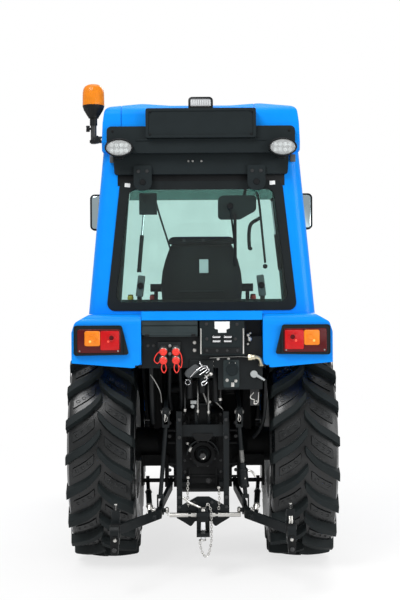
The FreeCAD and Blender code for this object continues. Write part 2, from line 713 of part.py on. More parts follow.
# ---- front axle and steering ------------------------------------------------------------------
def front_axle():
    """Cast axle beam on its centre pivot, with a forked boss at each kingpin."""
    z = KINGPIN_Z
    y = WHEELBASE
    half = BEAM_HEIGHT / 2
    end = KINGPIN_X - 70
    beam = front_plate([(-end, z - half, 10), (-150, z - half), (-110, z - half - 43, 30),
                        (110, z - half - 43, 30), (150, z - half), (end, z - half, 10), (end, z + half, 10),
                        (90, z + half + 20, 20), (-90, z + half + 20, 20), (-end, z + half, 10)],
                       y - BEAM_HALF, y + BEAM_HALF)
    pivot = rod((0, y - 95, z + 20), (0, y + 95, z + 20), 40)
    fork = []
    reach = KINGPIN_SPAN / 2
    for low in (z - reach - FORK_PLATE, z + reach):
        fork.append(rod((KINGPIN_X, y, low), (KINGPIN_X, y, low + FORK_PLATE), KNUCKLE_RADIUS - 8))
        fork.append(box(KINGPIN_X - 105, KINGPIN_X - 5, y - FORK_HALF, y + FORK_HALF, low, low + FORK_PLATE))
    fork.append(box(KINGPIN_X - 105, KINGPIN_X - 85, y - FORK_HALF, y + FORK_HALF, z - reach - FORK_PLATE,
                    z + reach + FORK_PLATE))
    fork.append(box(end - 20, KINGPIN_X - 60, y - FORK_HALF, y + FORK_HALF, z - half, z + half))
    hangers = []
    roof_z = FRAME_BOTTOM - SEAT_GAP
    for y0 in (y - 90, y + 62):
        hangers.append(box(-60, 60, y0, y0 + 28, z - 20, roof_z))
        hangers.append(box(-FRAME_WIDTH / 2, FRAME_WIDTH / 2, y0, y0 + 28, roof_z - 22, roof_z))
    save("front_axle", joined(beam, pivot, *both(*fork), *hangers))


def knuckles():
    """Gear case that turns about the kingpin between the beam's two bosses, with its steering arm."""
    z = KINGPIN_Z
    y = WHEELBASE
    x = KINGPIN_X
    reach = KINGPIN_SPAN / 2 - JOINT_GAP
    case = rod((x, y, z - reach), (x, y, z + reach), KNUCKLE_RADIUS)
    spindle = rod((x, y, FRONT_AXLE_Z), (FRONT_HUB_X - SEAT_GAP, y, FRONT_AXLE_Z), KNUCKLE_RADIUS - 4)
    stub = rod((x, y, FRONT_AXLE_Z), (FRONT_HUB_X + 22, y, FRONT_AXLE_Z), FRONT_SHAFT_RADIUS)
    arm_x = x - STEER_ARM_INSET
    arm_y = y - STEER_ARM
    low = z - KINGPIN_SPAN / 2 + 9
    arm = box(arm_x - STEER_ARM_WIDTH / 2, arm_x + STEER_ARM_WIDTH / 2, arm_y, y - 20, low,
              low + STEER_ARM_DEPTH)
    eye = rod((arm_x, arm_y, low), (arm_x, arm_y, low + STEER_ARM_DEPTH), 20)
    knuckle = joined(case, spindle, stub, arm, eye)
    save("knuckle_right", knuckle)
    save("knuckle_left", mirrored(knuckle))
    top = low - JOINT_GAP
    rod_z = top - TIE_ROD_RADIUS
    end = rod((arm_x, arm_y, rod_z - TIE_ROD_RADIUS), (arm_x, arm_y, top), 16)
    save("tie_rod", joined(rod((-arm_x, arm_y, rod_z), (arm_x, arm_y, rod_z), TIE_ROD_RADIUS), *both(end)))


# ---- three-point hitch ------------------------------------------------------------------------
def rockshaft():
    y = HITCH_PIVOT_Y
    z = ROCKSHAFT_Z
    half = LIFT_ARM / 2
    end_y = y - LIFT_REACH
    end_z = z - LIFT_DROP
    shaft = rod((-ARM_X - half - 2, y, z), (ARM_X + half + 2, y, z), ROCKSHAFT_RADIUS)
    arm = side_plate([(y + 46, z - 20, 20), (y + 46, z + 46, 30), (y - 60, z + 44, 60),
                      (end_y - 6, end_z + 26, 16), (end_y - 26, end_z + 4, 12),
                      (end_y - 14, end_z - 26, 14), (y - 70, z - 52, 80), (y, z - 50, 30)],
                     ARM_X - half, ARM_X + half)
    pin = rod((ARM_X - PIN_END, end_y, end_z), (ARM_X + PIN_END, end_y, end_z), PIN_RADIUS)
    save("rockshaft", joined(shaft, *both(arm, pin)))


def lift_rods():
    """Lift rods with a forked end over the lift arm and a forked end over the lower link."""
    y = HITCH_PIVOT_Y - LIFT_REACH
    top = ROCKSHAFT_Z - LIFT_DROP
    low = LINK_PIVOT_Z - LIFT_DROP
    gap = LIFT_ARM / 2 + JOINT_GAP
    outside = gap + FORK_CHEEK
    pieces = []
    for x, z, inward in ((ARM_X, top, -1), (LINK_X, low, 1)):
        bore = rod((x - 40, y, z), (x + 40, y, z), PIN_RADIUS + SEAT_GAP)
        near, far = sorted((z - 20 * inward, z + FORK_LENGTH * inward))
        for x0 in (x - outside, x + gap):
            pieces.append(box(x0, x0 + FORK_CHEEK, y - 17, y + 17, near, far).cut(bore))
        near, far = sorted((z + (FORK_LENGTH - 16) * inward, z + FORK_LENGTH * inward))
        pieces.append(box(x - outside, x + outside, y - 17, y + 17, near, far))
    foot = Vector(LINK_X, y, low + FORK_LENGTH - 8)
    head = Vector(ARM_X, y, top - FORK_LENGTH + 8)
    pieces.append(rod(tuple(foot), tuple(head), ROD_RADIUS))
    plain = joined(*pieces)
    run = (head - foot).normalize()
    sleeve = Part.makeCylinder(TURNBUCKLE_RADIUS, TURNBUCKLE_LENGTH, foot + run * 45, run)
    nut = Part.makeCylinder(ROD_RADIUS + 6, 26, foot + run * (TURNBUCKLE_LENGTH + 44), run)
    save("lift_rod_left", mirrored(plain))
    save("lift_rod_right", joined(plain, sleeve, nut))


def lower_links():
    """Lower links with ball-eye front ends, splayed claw ends and their stabiliser rods."""
    y = HITCH_PIVOT_Y
    z = LINK_PIVOT_Z
    lift_y = y - LIFT_REACH
    lift_z = z - LIFT_DROP
    half = LINK_WIDTH / 2
    deep = LINK_DEPTH / 2
    plan = [(LINK_PIVOT_X, y + 30), (LINK_PIVOT_X, y - 90, 30), (LINK_X, lift_y + 60, 30),
            (LINK_X, lift_y - 70, 30), (HOOK_X, HOOK_Y + 50, 30), (HOOK_X, HOOK_Y + 20)]
    inside = [(p[0] - half,) + p[1:] for p in plan]
    outside = [(p[0] + half,) + p[1:] for p in plan]
    ribbon = flat_plate(inside + outside[::-1], z - 400, z + 200)
    side = side_plate([(y + 26, z - deep, 22), (y + 26, z + deep, 22), (y - 40, z + deep),
                       (lift_y + 30, lift_z + deep, 60), (HOOK_Y + 20, HOOK_Z + deep),
                       (HOOK_Y + 20, HOOK_Z - deep), (lift_y + 10, lift_z - deep, 60), (y - 40, z - deep)],
                      0, HOOK_X + 60)
    pivot_bore = rod((LINK_PIVOT_X - 30, y, z), (LINK_PIVOT_X + 30, y, z), PIN_RADIUS + SEAT_GAP)
    bar = ribbon.common(side).cut(pivot_bore)
    pin = rod((LINK_X - PIN_END - 4, lift_y, lift_z), (LINK_X + PIN_END + 4, lift_y, lift_z), PIN_RADIUS)
    x0 = HOOK_X - HOOK_WIDTH / 2
    x1 = HOOK_X + HOOK_WIDTH / 2
    claw = rod((x0, HOOK_Y, HOOK_Z), (x1, HOOK_Y, HOOK_Z), HOOK_RADIUS)
    tail = side_plate([(HOOK_Y + 40, HOOK_Z - 20), (HOOK_Y + 30, HOOK_Z - 80, 12),
                       (HOOK_Y + 5, HOOK_Z - 104, 10), (HOOK_Y - 14, HOOK_Z - 90, 10),
                       (HOOK_Y - 20, HOOK_Z - 20)], x0 + 6, x1 - 6)
    horn = side_plate([(HOOK_Y + 52, HOOK_Z - 10), (HOOK_Y + 50, HOOK_Z + 104, 12),
                       (HOOK_Y + 26, HOOK_Z + 104, 12), (HOOK_Y + 24, HOOK_Z - 10)], x0, x1)
    seat = rod((x0 - 20, HOOK_Y, HOOK_Z + 6), (x1 + 20, HOOK_Y, HOOK_Z + 6), HOOK_BORE)
    mouth = side_plate([(HOOK_Y - HOOK_BORE, HOOK_Z + 6), (HOOK_Y - 14, HOOK_Z + 140),
                        (HOOK_Y + HOOK_BORE, HOOK_Z + 140), (HOOK_Y + HOOK_BORE, HOOK_Z + 6)], x0 - 20,
                       x1 + 20)
    hook = joined(claw, tail, horn).cut(joined(seat, mouth))
    front = Vector(STAY_X, y, z)
    rear = Vector(STAY_REAR_X, STAY_REAR_Y, STAY_REAR_Z)
    eye = rod((STAY_X - 9, y, z), (STAY_X + 9, y, z), 24)
    stay = rod(tuple(front), tuple(rear), STAY_RADIUS)
    sleeve = rod(tuple(front + (rear - front) * 0.35), tuple(front + (rear - front) * 0.7), STAY_RADIUS + 5)
    lug = rod((STAY_REAR_X - 29, STAY_REAR_Y, STAY_REAR_Z), (STAY_REAR_X + 12, STAY_REAR_Y, STAY_REAR_Z), 15)
    stay_bore = rod((STAY_X - 20, y, z), (STAY_X + 20, y, z), PIN_RADIUS + SEAT_GAP)
    link = joined(bar, pin, hook, joined(eye, stay, sleeve, lug).cut(stay_bore))
    save("lower_link_right", link)
    save("lower_link_left", mirrored(link))


def hitch_frame():
    """Ladder frame behind the gearbox, with the slider plate, the shaft guard and the draw bar."""
    rail = box(RAIL_IN, RAIL_OUT, RAIL_REAR, RAIL_FRONT, RAIL_BOTTOM, RAIL_TOP)
    feet = [box(RAIL_IN - 22, RAIL_OUT, RAIL_FRONT - 5, COVER_REAR, z, z + 24) for z in RAIL_FEET_ZS]
    bridge = box(-RAIL_OUT, RAIL_OUT, RAIL_FRONT - 12, RAIL_FRONT, PTO_Z + 101, PTO_Z + 161)
    plate_rear = RAIL_REAR - 14
    low = RAIL_BOTTOM
    slider = front_plate([(-RAIL_OUT, low), (-RAIL_IN + 10, low - 22, 10), (-62, low - 44, 10),
                          (-40, low - 16, 8), (40, low - 16, 8), (62, low - 44, 10),
                          (RAIL_IN - 10, low - 22, 10), (RAIL_OUT, low), (RAIL_OUT, low + 50),
                          (30, low + 108, 20), (-30, low + 108, 20), (-RAIL_OUT, low + 50)], plate_rear,
                         RAIL_REAR)
    bar_y = RAIL_REAR - 28
    bar = rod((-170, bar_y, DRAW_BAR_Z), (190, bar_y, DRAW_BAR_Z), DRAW_BAR_RADIUS)
    holders = [box(x, x + 14, bar_y - 14, plate_rear + 1, DRAW_BAR_Z - 16, DRAW_BAR_Z + 16)
               for x in (-76, 62)]
    guard = tube((0, COVER_REAR, PTO_Z), (0, RAIL_FRONT + 8, PTO_Z), GUARD_RADIUS, GUARD_RADIUS - 6)
    guard = guard.cut(box(-100, 100, RAIL_FRONT, COVER_REAR, PTO_Z - 100, PTO_Z + 2))
    save("hitch_frame", joined(bridge, slider, bar, guard, *holders, *both(rail, *feet)))
    seat = plate_rear - SEAT_GAP
    rear = seat - CLEVIS_LENGTH + 14
    fork = [box(-CLEVIS_HALF, CLEVIS_HALF, rear, seat, z, z + CLEVIS_CHEEK)
            for z in (CLEVIS_BOTTOM, CLEVIS_BOTTOM + CLEVIS_CHEEK + CLEVIS_GAP)]
    top = CLEVIS_BOTTOM + 2 * CLEVIS_CHEEK + CLEVIS_GAP
    web = box(-CLEVIS_HALF, CLEVIS_HALF, seat - 46, seat, CLEVIS_BOTTOM, top)
    pin_y = rear + 35
    hole = rod((0, pin_y, CLEVIS_BOTTOM - 20), (0, pin_y, top + 20), CLEVIS_PIN_RADIUS + SEAT_GAP)
    slot = rod((-50, bar_y, DRAW_BAR_Z), (50, bar_y, DRAW_BAR_Z), DRAW_BAR_RADIUS + SEAT_GAP)
    clevis = joined(web, *fork).cut(hole).cut(slot)
    pin = joined(rod((0, pin_y, CLEVIS_BOTTOM - 16), (0, pin_y, top + 20), CLEVIS_PIN_RADIUS),
                 rod((0, pin_y, top + SEAT_GAP), (0, pin_y, top + 14), CLEVIS_PIN_RADIUS + 8))
    save("drawbar_clevis", clevis, pin)


def shaft_and_top_link():
    shaft = rod((0, COVER_REAR - SEAT_GAP, PTO_Z), (0, RAIL_REAR + 12, PTO_Z), PTO_RADIUS)
    boss = rod((0, COVER_REAR - SEAT_GAP, PTO_Z), (0, COVER_REAR - 16, PTO_Z), 42)
    save("pto_shaft", joined(shaft, boss))
    face = COVER_REAR
    pin_y = face - 32
    cheek = side_plate([(face, TOP_LINK_Z + 40, 10), (face, HOUSING_TOP - 130),
                        (face - 46, HOUSING_TOP - 90, 20), (face - 60, TOP_LINK_Z + 20, 20)], 26, 40)
    back = box(-40, 40, face - 10, face, HOUSING_TOP - 130, TOP_LINK_Z)
    pin = rod((-52, pin_y, TOP_LINK_Z), (52, pin_y, TOP_LINK_Z), PIN_RADIUS)
    save("top_link_bracket", joined(back, pin, *both(cheek)))


# ---- cab --------------------------------------------------------------------------------------
def cab_half(z):
    """Half the width of the cab at a height, its sides leaning inwards."""
    return CAB_HALF_BASE - CAB_SLOPE * (z - CAB_BASE)


def cab_front(z):
    return CAB_FRONT - SCREEN_SLOPE * (z - CAB_BASE)


def cab_slab(inset, thickness):
    """The leaning side skin of the cab, upright below the window line, on the right side."""
    outer = [(CAB_HALF_BASE - inset, SILL - 60), (CAB_HALF_BASE - inset, CAB_BASE),
             (CAB_HALF_TOP - inset, CAB_TOP)]
    inner = [(x - thickness, z) for x, z in reversed(outer)]
    return front_plate(outer + inner, CAB_REAR - 100, CAB_FRONT + 100)


def cab_hull(inset, low, high):
    wide = [(-cab_half(low) + inset, low), (-cab_half(high) + inset, high)]
    wide += [(-x, z) for x, z in reversed(wide)]
    long = [(CAB_REAR + inset, low), (CAB_REAR + inset, high), (cab_front(high) - inset, high),
            (cab_front(low) - inset, low)]
    return front_plate(wide, CAB_REAR - 50, CAB_FRONT + 100).common(side_plate(long, -SIDE_OUT, SIDE_OUT))


def rear_window(inset):
    low = CAB_BASE + WINDOW_SILL
    high = CAB_TOP - WINDOW_HEADER
    foot = cab_half(low) - WINDOW_POST - inset
    head = cab_half(high) - WINDOW_POST_TOP - inset
    return [(-foot, low + inset, 40), (-head, high - inset, 40), (head, high - inset, 40),
            (foot, low + inset, 40)]


def windscreen_outline(inset):
    low = CAB_BASE + SCREEN_SILL
    high = CAB_TOP - PILLAR
    foot = cab_half(low) - PILLAR - inset
    head = cab_half(high) - PILLAR - inset
    return [(-foot, low + inset, 40), (-head, high - inset, 60), (head, high - inset, 60),
            (foot, low + inset, 40)]


def quarter_outline(inset):
    rear = CAB_REAR + QUARTER_POST + inset
    front = DOOR_REAR - PILLAR - inset
    low = CAB_BASE + DOOR_HEADER + inset
    high = CAB_TOP - DOOR_HEADER - inset
    return [(rear, low, 50), (rear, high, 60), (front, high, 30), (front, low, 30)]


def door_outline(inset):
    """Door edge: upright behind, then forward and down ahead of the rear fender."""
    high = CAB_TOP - DOOR_HEADER - inset
    low = SILL + DOOR_LIFT + inset
    over_fender = FENDER_TOP + DOOR_LIFT + inset
    sloped = inset * 0.4
    rear = DOOR_REAR + inset
    front = DOOR_FOOT - inset
    return [(rear, high, 40), (rear, over_fender, 30), (FENDER_CREST + 22 + inset, over_fender, 40),
            (FENDER_BEND_Y + 25 + inset, FENDER_BEND_Z + 12 + sloped, 60),
            (FENDER_FRONT + 22 + inset, FENDER_SHOULDER + 6 + sloped, 60),
            (FENDER_FRONT + 24 + inset, low, 40), (front, low, 30), (front, CAB_BASE + 10, 200),
            (DOOR_FRONT - inset, high, 60)]


def door_window(inset):
    high = CAB_TOP - DOOR_HEADER - DOOR_FRAME - inset
    low = CAB_BASE + DOOR_HEADER + 6 + inset
    foot = SILL + DOOR_LIFT + DOOR_FRAME + 6 + inset
    rear = DOOR_REAR + DOOR_FRAME - 2 + inset
    front = DOOR_FOOT - DOOR_FRAME + 4 - inset
    return [(rear, high, 30), (rear, low, 30), (FENDER_CREST + 50, low, 30),
            (FENDER_BEND_Y + 71 + inset, FENDER_BEND_Z + 32, 60),
            (FENDER_FRONT + 66 + inset, FENDER_SHOULDER + 40, 60), (FENDER_FRONT + 68 + inset, foot, 30),
            (front, foot, 30), (front, CAB_BASE + 10, 200), (DOOR_FRONT - DOOR_FRAME - inset, high, 50)]


def at_hinge(shape, z):
    """Moves a hinge piece made about the Z axis to the leaning hinge line, at height z."""
    shape = shape.copy()
    shape.rotate(Vector(0, 0, 0), Vector(0, 1, 0), -math.degrees(math.atan(CAB_SLOPE)))
    shape.translate(Vector(cab_half(z) + HINGE_OUT, DOOR_REAR - HINGE_BACK, z))
    return shape


def rounded_posts(shell, radius, behind):
    """Rounds the shell's upright edges, behind or ahead of the middle of the cab."""
    middle = (CAB_REAR + CAB_FRONT) / 2
    edges = []
    for edge in shell.Edges:
        if len(edge.Vertexes) == 2:
            rise = abs(edge.Vertexes[0].Point.z - edge.Vertexes[1].Point.z)
            if rise > (CAB_TOP - CAB_BASE) / 2 and (edge.CenterOfMass.y < middle) == behind:
                edges.append(edge)
    return shell.makeFillet(radius, edges)


def hinge_ears():
    """Pins and ears of the door hinges and of the hood hinge, on the right side."""
    pieces = []
    for z in HINGE_HEIGHTS:
        pieces.append(at_hinge(rod((0, 0, -HINGE_HALF), (0, 0, HINGE_HALF), HINGE_PIN), z))
        high = HINGE_EAR - JOINT_GAP
        for low in (-HINGE_HALF, HINGE_HALF - high):
            disc = rod((0, 0, low), (0, 0, low + high), HINGE_RADIUS)
            pieces.append(at_hinge(joined(disc, box(-22, 6, -40, 0, low, low + high)), z))
    x = HOOD_HINGE_X
    disc = rod((x, HOOD_HINGE_Y, HOOD_HINGE_Z), (x + 12, HOOD_HINGE_Y, HOOD_HINGE_Z), HOOD_EAR)
    bar = box(x, x + 12, CAB_FRONT - 20, HOOD_HINGE_Y, HOOD_HINGE_Z - 24, HOOD_HINGE_Z - 8)
    pin = rod((x, HOOD_HINGE_Y, HOOD_HINGE_Z), (x + 28, HOOD_HINGE_Y, HOOD_HINGE_Z), HINGE_PIN)
    return pieces + [disc, bar, pin]


def cab():
    shell = rounded_posts(cab_hull(0, CAB_BASE, CAB_TOP), CAB_REAR_CORNER, True)
    shell = rounded_posts(shell, 12, False)
    shell = shell.cut(cab_hull(PILLAR, CAB_BASE - 1, CAB_TOP + 1))
    shell = shell.cut(front_plate(rear_window(0), CAB_REAR - 60, CAB_REAR + 100))
    shell = shell.cut(front_plate(windscreen_outline(0), CAB_FRONT - 230, CAB_FRONT + 60))
    quarter = side_plate(quarter_outline(0), SIDE_IN, SIDE_OUT)
    door = side_plate(door_outline(-DOOR_GAP), SIDE_IN, SIDE_OUT)
    step = box(SIDE_IN, SIDE_OUT, DOOR_REAR - DOOR_GAP, DOOR_FOOT + DOOR_GAP, CAB_BASE - 10, CAB_BASE + 60)
    for opening in both(quarter, door, step):
        shell = shell.cut(opening)
    post = box(CAB_HALF_BASE - PILLAR, CAB_HALF_BASE, DOOR_FOOT + DOOR_GAP, CAB_FRONT, SILL + SEAT_GAP,
               CAB_BASE)
    save("cab_frame", joined(shell, *both(post, *hinge_ears())))
    save_glazing()
    door = side_plate(door_outline(0), SIDE_IN, SIDE_OUT).common(cab_slab(0, DOOR_THICKNESS))
    door = door.cut(side_plate(door_window(0), SIDE_IN, SIDE_OUT))
    glass = side_plate(door_window(SEAT_GAP), SIDE_IN, SIDE_OUT).common(cab_slab(GLASS_INSET, GLASS))
    bore = rod((0, 0, -60), (0, 0, 60), HINGE_PIN + SEAT_GAP)
    half = HINGE_HALF - HINGE_EAR
    knuckle = joined(rod((0, 0, -half), (0, 0, half), HINGE_RADIUS),
                     box(-18, -4, 0, 60, 6 - half, half - 6)).cut(bore)
    low = CAB_BASE - HANDLE_DROP
    high = low + HANDLE_LENGTH
    grip = box(CAB_HALF_BASE - 1, CAB_HALF_BASE + 26, DOOR_FOOT - 36, DOOR_FOOT - 14, low, high)
    grip = grip.cut(box(CAB_HALF_BASE, CAB_HALF_BASE + 14, DOOR_FOOT - 40, DOOR_FOOT - 10, low + 18,
                        high - 18))
    door = joined(door, grip, *[at_hinge(knuckle, z) for z in HINGE_HEIGHTS])
    save("door_right", door)
    save("door_left", mirrored(door))
    save("door_glass_right", glass)
    save("door_glass_left", mirrored(glass))


def save_glazing():
    """Rear window with its seal, windscreen and rear quarter glasses."""
    seal = front_plate(rear_window(SEAT_GAP), CAB_REAR - SEAL_PROUD, CAB_REAR + SEAL_DEPTH - SEAL_PROUD)
    save("window_seal", seal.cut(front_plate(rear_window(SEAL_WIDTH), CAB_REAR - 10, CAB_REAR + 60)))
    rear = front_plate(rear_window(SEAL_WIDTH + SEAT_GAP), REAR_GLASS, REAR_GLASS + GLASS)
    outside = cab_front(CAB_BASE) - GLASS_INSET - 2
    slab = side_plate([(outside, CAB_BASE), (outside - CAB_FRONT_LEAN, CAB_TOP),
                       (outside - CAB_FRONT_LEAN - GLASS, CAB_TOP), (outside - GLASS, CAB_BASE)],
                      -SIDE_OUT, SIDE_OUT)
    screen = front_plate(windscreen_outline(SEAT_GAP), CAB_FRONT - 230, CAB_FRONT + 60).common(slab)
    quarter = side_plate(quarter_outline(SEAT_GAP), SIDE_IN, SIDE_OUT).common(cab_slab(GLASS_INSET, GLASS))
    save("cab_glass", rear, screen, *both(quarter))


def window_fittings():
    """Hinge covers, wiper and its motor, gas struts and the latch box of the rear window."""
    outside = CAB_REAR - SEAT_GAP - TRAY_DEPTH - SEAT_GAP
    covers = []
    for x in HINGE_COVER_XS:
        left = x - HINGE_COVER_HALF
        right = x + HINGE_COVER_HALF
        foot = CAB_TOP - HINGE_COVER_FOOT
        head = CAB_TOP - HINGE_COVER_HEAD
        cover = front_plate([(left, foot, 40), (left, head, 6), (right, head, 6), (right, foot, 40)],
                            outside - 14, outside)
        covers.append(cover)
    inside = REAR_GLASS + GLASS + SEAT_GAP
    motor = front_plate([(86, CAB_TOP - 345, 20), (86, CAB_TOP - 225, 30), (282, CAB_TOP - 225, 20),
                         (282, CAB_TOP - 300, 20), (200, CAB_TOP - 345, 30)], inside, inside + 62)
    latch = box(-318, -228, inside, inside + 40, CAB_TOP - 319, CAB_TOP - 211)
    struts = []
    for head, foot in STRUT_XS:
        top = (head, inside + 30, CAB_TOP - STRUT_HEAD_DROP)
        low = (foot, inside + 30, CAB_TOP - STRUT_FOOT_DROP)
        middle = tuple((a + b) / 2 for a, b in zip(top, low))
        studs = [rod((x, inside, z), (x, inside + 38, z), 8) for x, z in ((head, top[2]), (foot, low[2]))]
        struts.append(joined(rod(top, low, 6), rod(middle, low, 10), *studs))
    face = REAR_GLASS - SEAT_GAP
    pivot = (WIPER_X, face - 22, CAB_TOP - WIPER_DROP)
    tip = (WIPER_TIP_X, face - 16, CAB_TOP - WIPER_TIP_DROP)
    boss = rod((WIPER_X, face, pivot[2]), (WIPER_X, face - 30, pivot[2]), 13)
    blade = box(WIPER_TIP_X - 8, WIPER_TIP_X + 8, face - 20, face, tip[2] - WIPER_BLADE_DOWN,
                tip[2] + WIPER_BLADE_UP)
    wiper = joined(boss, rod(pivot, tip, 5), blade)
    save("window_fittings", *covers, motor, latch, wiper, *struts)


def cab_floor():
    """Cab floor: seat platform between the fenders, riser, foot floor and firewall."""
    inner = TUB_HALF - TUB_WALL
    rear = CAB_REAR + TUB_REAR_GAP
    top = CAB_BASE - SEAT_GAP
    riser = PLATFORM_FRONT - TUB_WALL
    low = SILL - FLOOR_THICKNESS
    pieces = [box(-TUB_HALF, TUB_HALF, rear, PLATFORM_FRONT, PLATFORM, PLATFORM + TUB_WALL),
              box(-TUB_HALF, TUB_HALF, rear, rear + TUB_WALL, PLATFORM, top),
              box(-TUB_HALF, TUB_HALF, riser, PLATFORM_FRONT, SILL, PLATFORM + TUB_WALL),
              box(-TUB_HALF, TUB_HALF, riser, CAB_FRONT, low, SILL)]
    pieces += both(box(inner, TUB_HALF, rear, PLATFORM_FRONT, PLATFORM, top),
                   box(inner, TUB_HALF, riser, FENDER_FRONT - 10, SILL, top),
                   box(inner, CAB_HALF_BASE, FENDER_FRONT + 16, CAB_FRONT, low, SILL))
    wall_half = CAB_HALF_BASE - PILLAR
    pieces.append(box(-wall_half, wall_half, CAB_FRONT - FIREWALL - 10, CAB_FRONT - 10, SILL - 5, top))
    save("cab_floor", joined(*pieces))


# ---- fenders ----------------------------------------------------------------------------------
def wheel_arch(depth):
    """Side outline of the room under the fender, a depth inside the fender's outer line."""
    line = [(FENDER_REAR, FENDER_LIP), (FENDER_REAR, FENDER_TOP, 50), (FENDER_CREST, FENDER_TOP, 60),
            (FENDER_BEND_Y, FENDER_BEND_Z, 80), (FENDER_FRONT, FENDER_SHOULDER, 60),
            (FENDER_FRONT, FENDER_FOOT)]
    line = offset_line(line, depth)
    low = FENDER_FOOT - 20
    return [(line[0][0], low)] + line[1:-1] + [(line[-1][0], low)]


def fender_face(inset):
    """Rear view of the fender's top and outer side, with the chamfer between them."""
    return offset_line([(FENDER_INNER - 1, FENDER_TOP), (FENDER_HALF - FENDER_CHAMFER, FENDER_TOP, 30),
                        (FENDER_HALF - 16, FENDER_TOP - 40, 30), (FENDER_HALF, FENDER_TOP - 90, 20),
                        (FENDER_HALF, FENDER_LIP)], inset)


def fenders():
    low = FENDER_FOOT - 20
    arch = side_plate(wheel_arch(0), FENDER_INNER, FENDER_HALF)
    under = side_plate([(FENDER_FRONT + 10, low - 10), (FENDER_FRONT + 10, FENDER_FOOT),
                        (140, FENDER_FOOT, 60), (-300, FENDER_LIP), (FENDER_REAR - 10, FENDER_LIP),
                        (FENDER_REAR - 10, low - 10)], FENDER_INNER - 10, FENDER_HALF + 10)
    whole = front_plate([(FENDER_INNER - 1, low)] + fender_face(0)[:-1] + [(FENDER_HALF, low)],
                        FENDER_REAR + FENDER_SKIRT, FENDER_FRONT + 10)
    back = front_plate(fender_face(0)[:-1] + [(FENDER_HALF, FENDER_LIP + FENDER_LIP_SLANT),
                                              (FENDER_INNER, FENDER_LIP, 45)],
                       FENDER_REAR - 10, FENDER_REAR + FENDER_SKIRT)
    body = arch.cut(under).common(joined(whole, back))
    room_face = fender_face(FENDER_WALL)
    room = front_plate([(FENDER_INNER + 16, low)] + [(FENDER_INNER + 16, room_face[0][1])] + room_face[1:-1]
                       + [(FENDER_HALF - FENDER_WALL, low)], FENDER_REAR - 20, FENDER_FRONT + 20)
    room = side_plate(wheel_arch(FENDER_WALL), FENDER_INNER, FENDER_HALF).common(room)
    opening = side_plate(wheel_arch(FENDER_SKIRT), FENDER_HALF - FENDER_WALL - 1, FENDER_HALF + 10)
    fender = body.cut(room).cut(opening)
    save("fender_right", fender)
    save("fender_left", mirrored(fender))


# ---- roof and lamps ---------------------------------------------------------------------------
def roof_side(inset):
    rear = ROOF_REAR + inset
    front = ROOF_FRONT - inset
    top = ROOF_TOP + 6 - inset
    return [(rear + 30, CAB_TOP), (rear, CAB_TOP + 40, 20), (rear + 6, ROOF_TOP - 40, 50),
            (rear + 70, top, 60), (front - 160, top, 120), (front, CAB_TOP + 90, 60),
            (front - 20, CAB_TOP + 10, 20), (front - 160, CAB_TOP)]


def oval(x, z, y0, y1, wide, high):
    wire = Part.Wire([Part.Ellipse(Vector(0, 0, 0), wide / 2, high / 2).toShape()])
    solid = Part.Face(wire).extrude(Vector(0, 0, y1 - y0))
    solid.rotate(Vector(0, 0, 0), Vector(1, 0, 0), -90)
    solid.translate(Vector(x, y0, z))
    return solid


def roof():
    half = CAB_HALF_TOP
    line = [(-half, CAB_TOP), (-half + 6, CAB_TOP + 140), (-half + 18, ROOF_TOP - ROOF_SHOULDER, 40),
            (-ROOF_RIDGE_X, ROOF_TOP, 160), (-ROOF_VALLEY_X, ROOF_TOP - ROOF_VALLEY, 60)]
    line += [(-p[0],) + p[1:] for p in reversed(line)]
    form = front_plate(line, ROOF_REAR, ROOF_FRONT).common(side_plate(roof_side(0), -half, half))
    high = ROOF_TOP - 90
    lining = front_plate([(-half + 40, CAB_TOP - 10), (-half + 50, high, 30), (half - 50, high, 30),
                          (half - 40, CAB_TOP - 10)], CAB_REAR + PILLAR, CAB_FRONT - 130)
    form = form.cut(lining)
    for x in ROOF_SEAMS:
        seam = side_plate(roof_side(-ROOF_SEAM), x - ROOF_SEAM / 2, x + ROOF_SEAM / 2)
        seam = seam.cut(side_plate(roof_side(ROOF_SEAM), x - ROOF_SEAM, x + ROOF_SEAM))
        form = form.cut(seam.common(box(x - 10, x + 10, ROOF_REAR - 20, ROOF_REAR + 80, CAB_TOP,
                                        ROOF_TOP + 20)))
    pocket = oval(FRONT_LAMP_X, CAB_TOP + FRONT_LAMP_RISE, ROOF_FRONT - 60, ROOF_FRONT + 60,
                  LAMP_WIDE + 2 * JOINT_GAP, LAMP_HIGH + 2 * JOINT_GAP)
    for opening in both(pocket):
        form = form.cut(opening)
    save("roof", form)


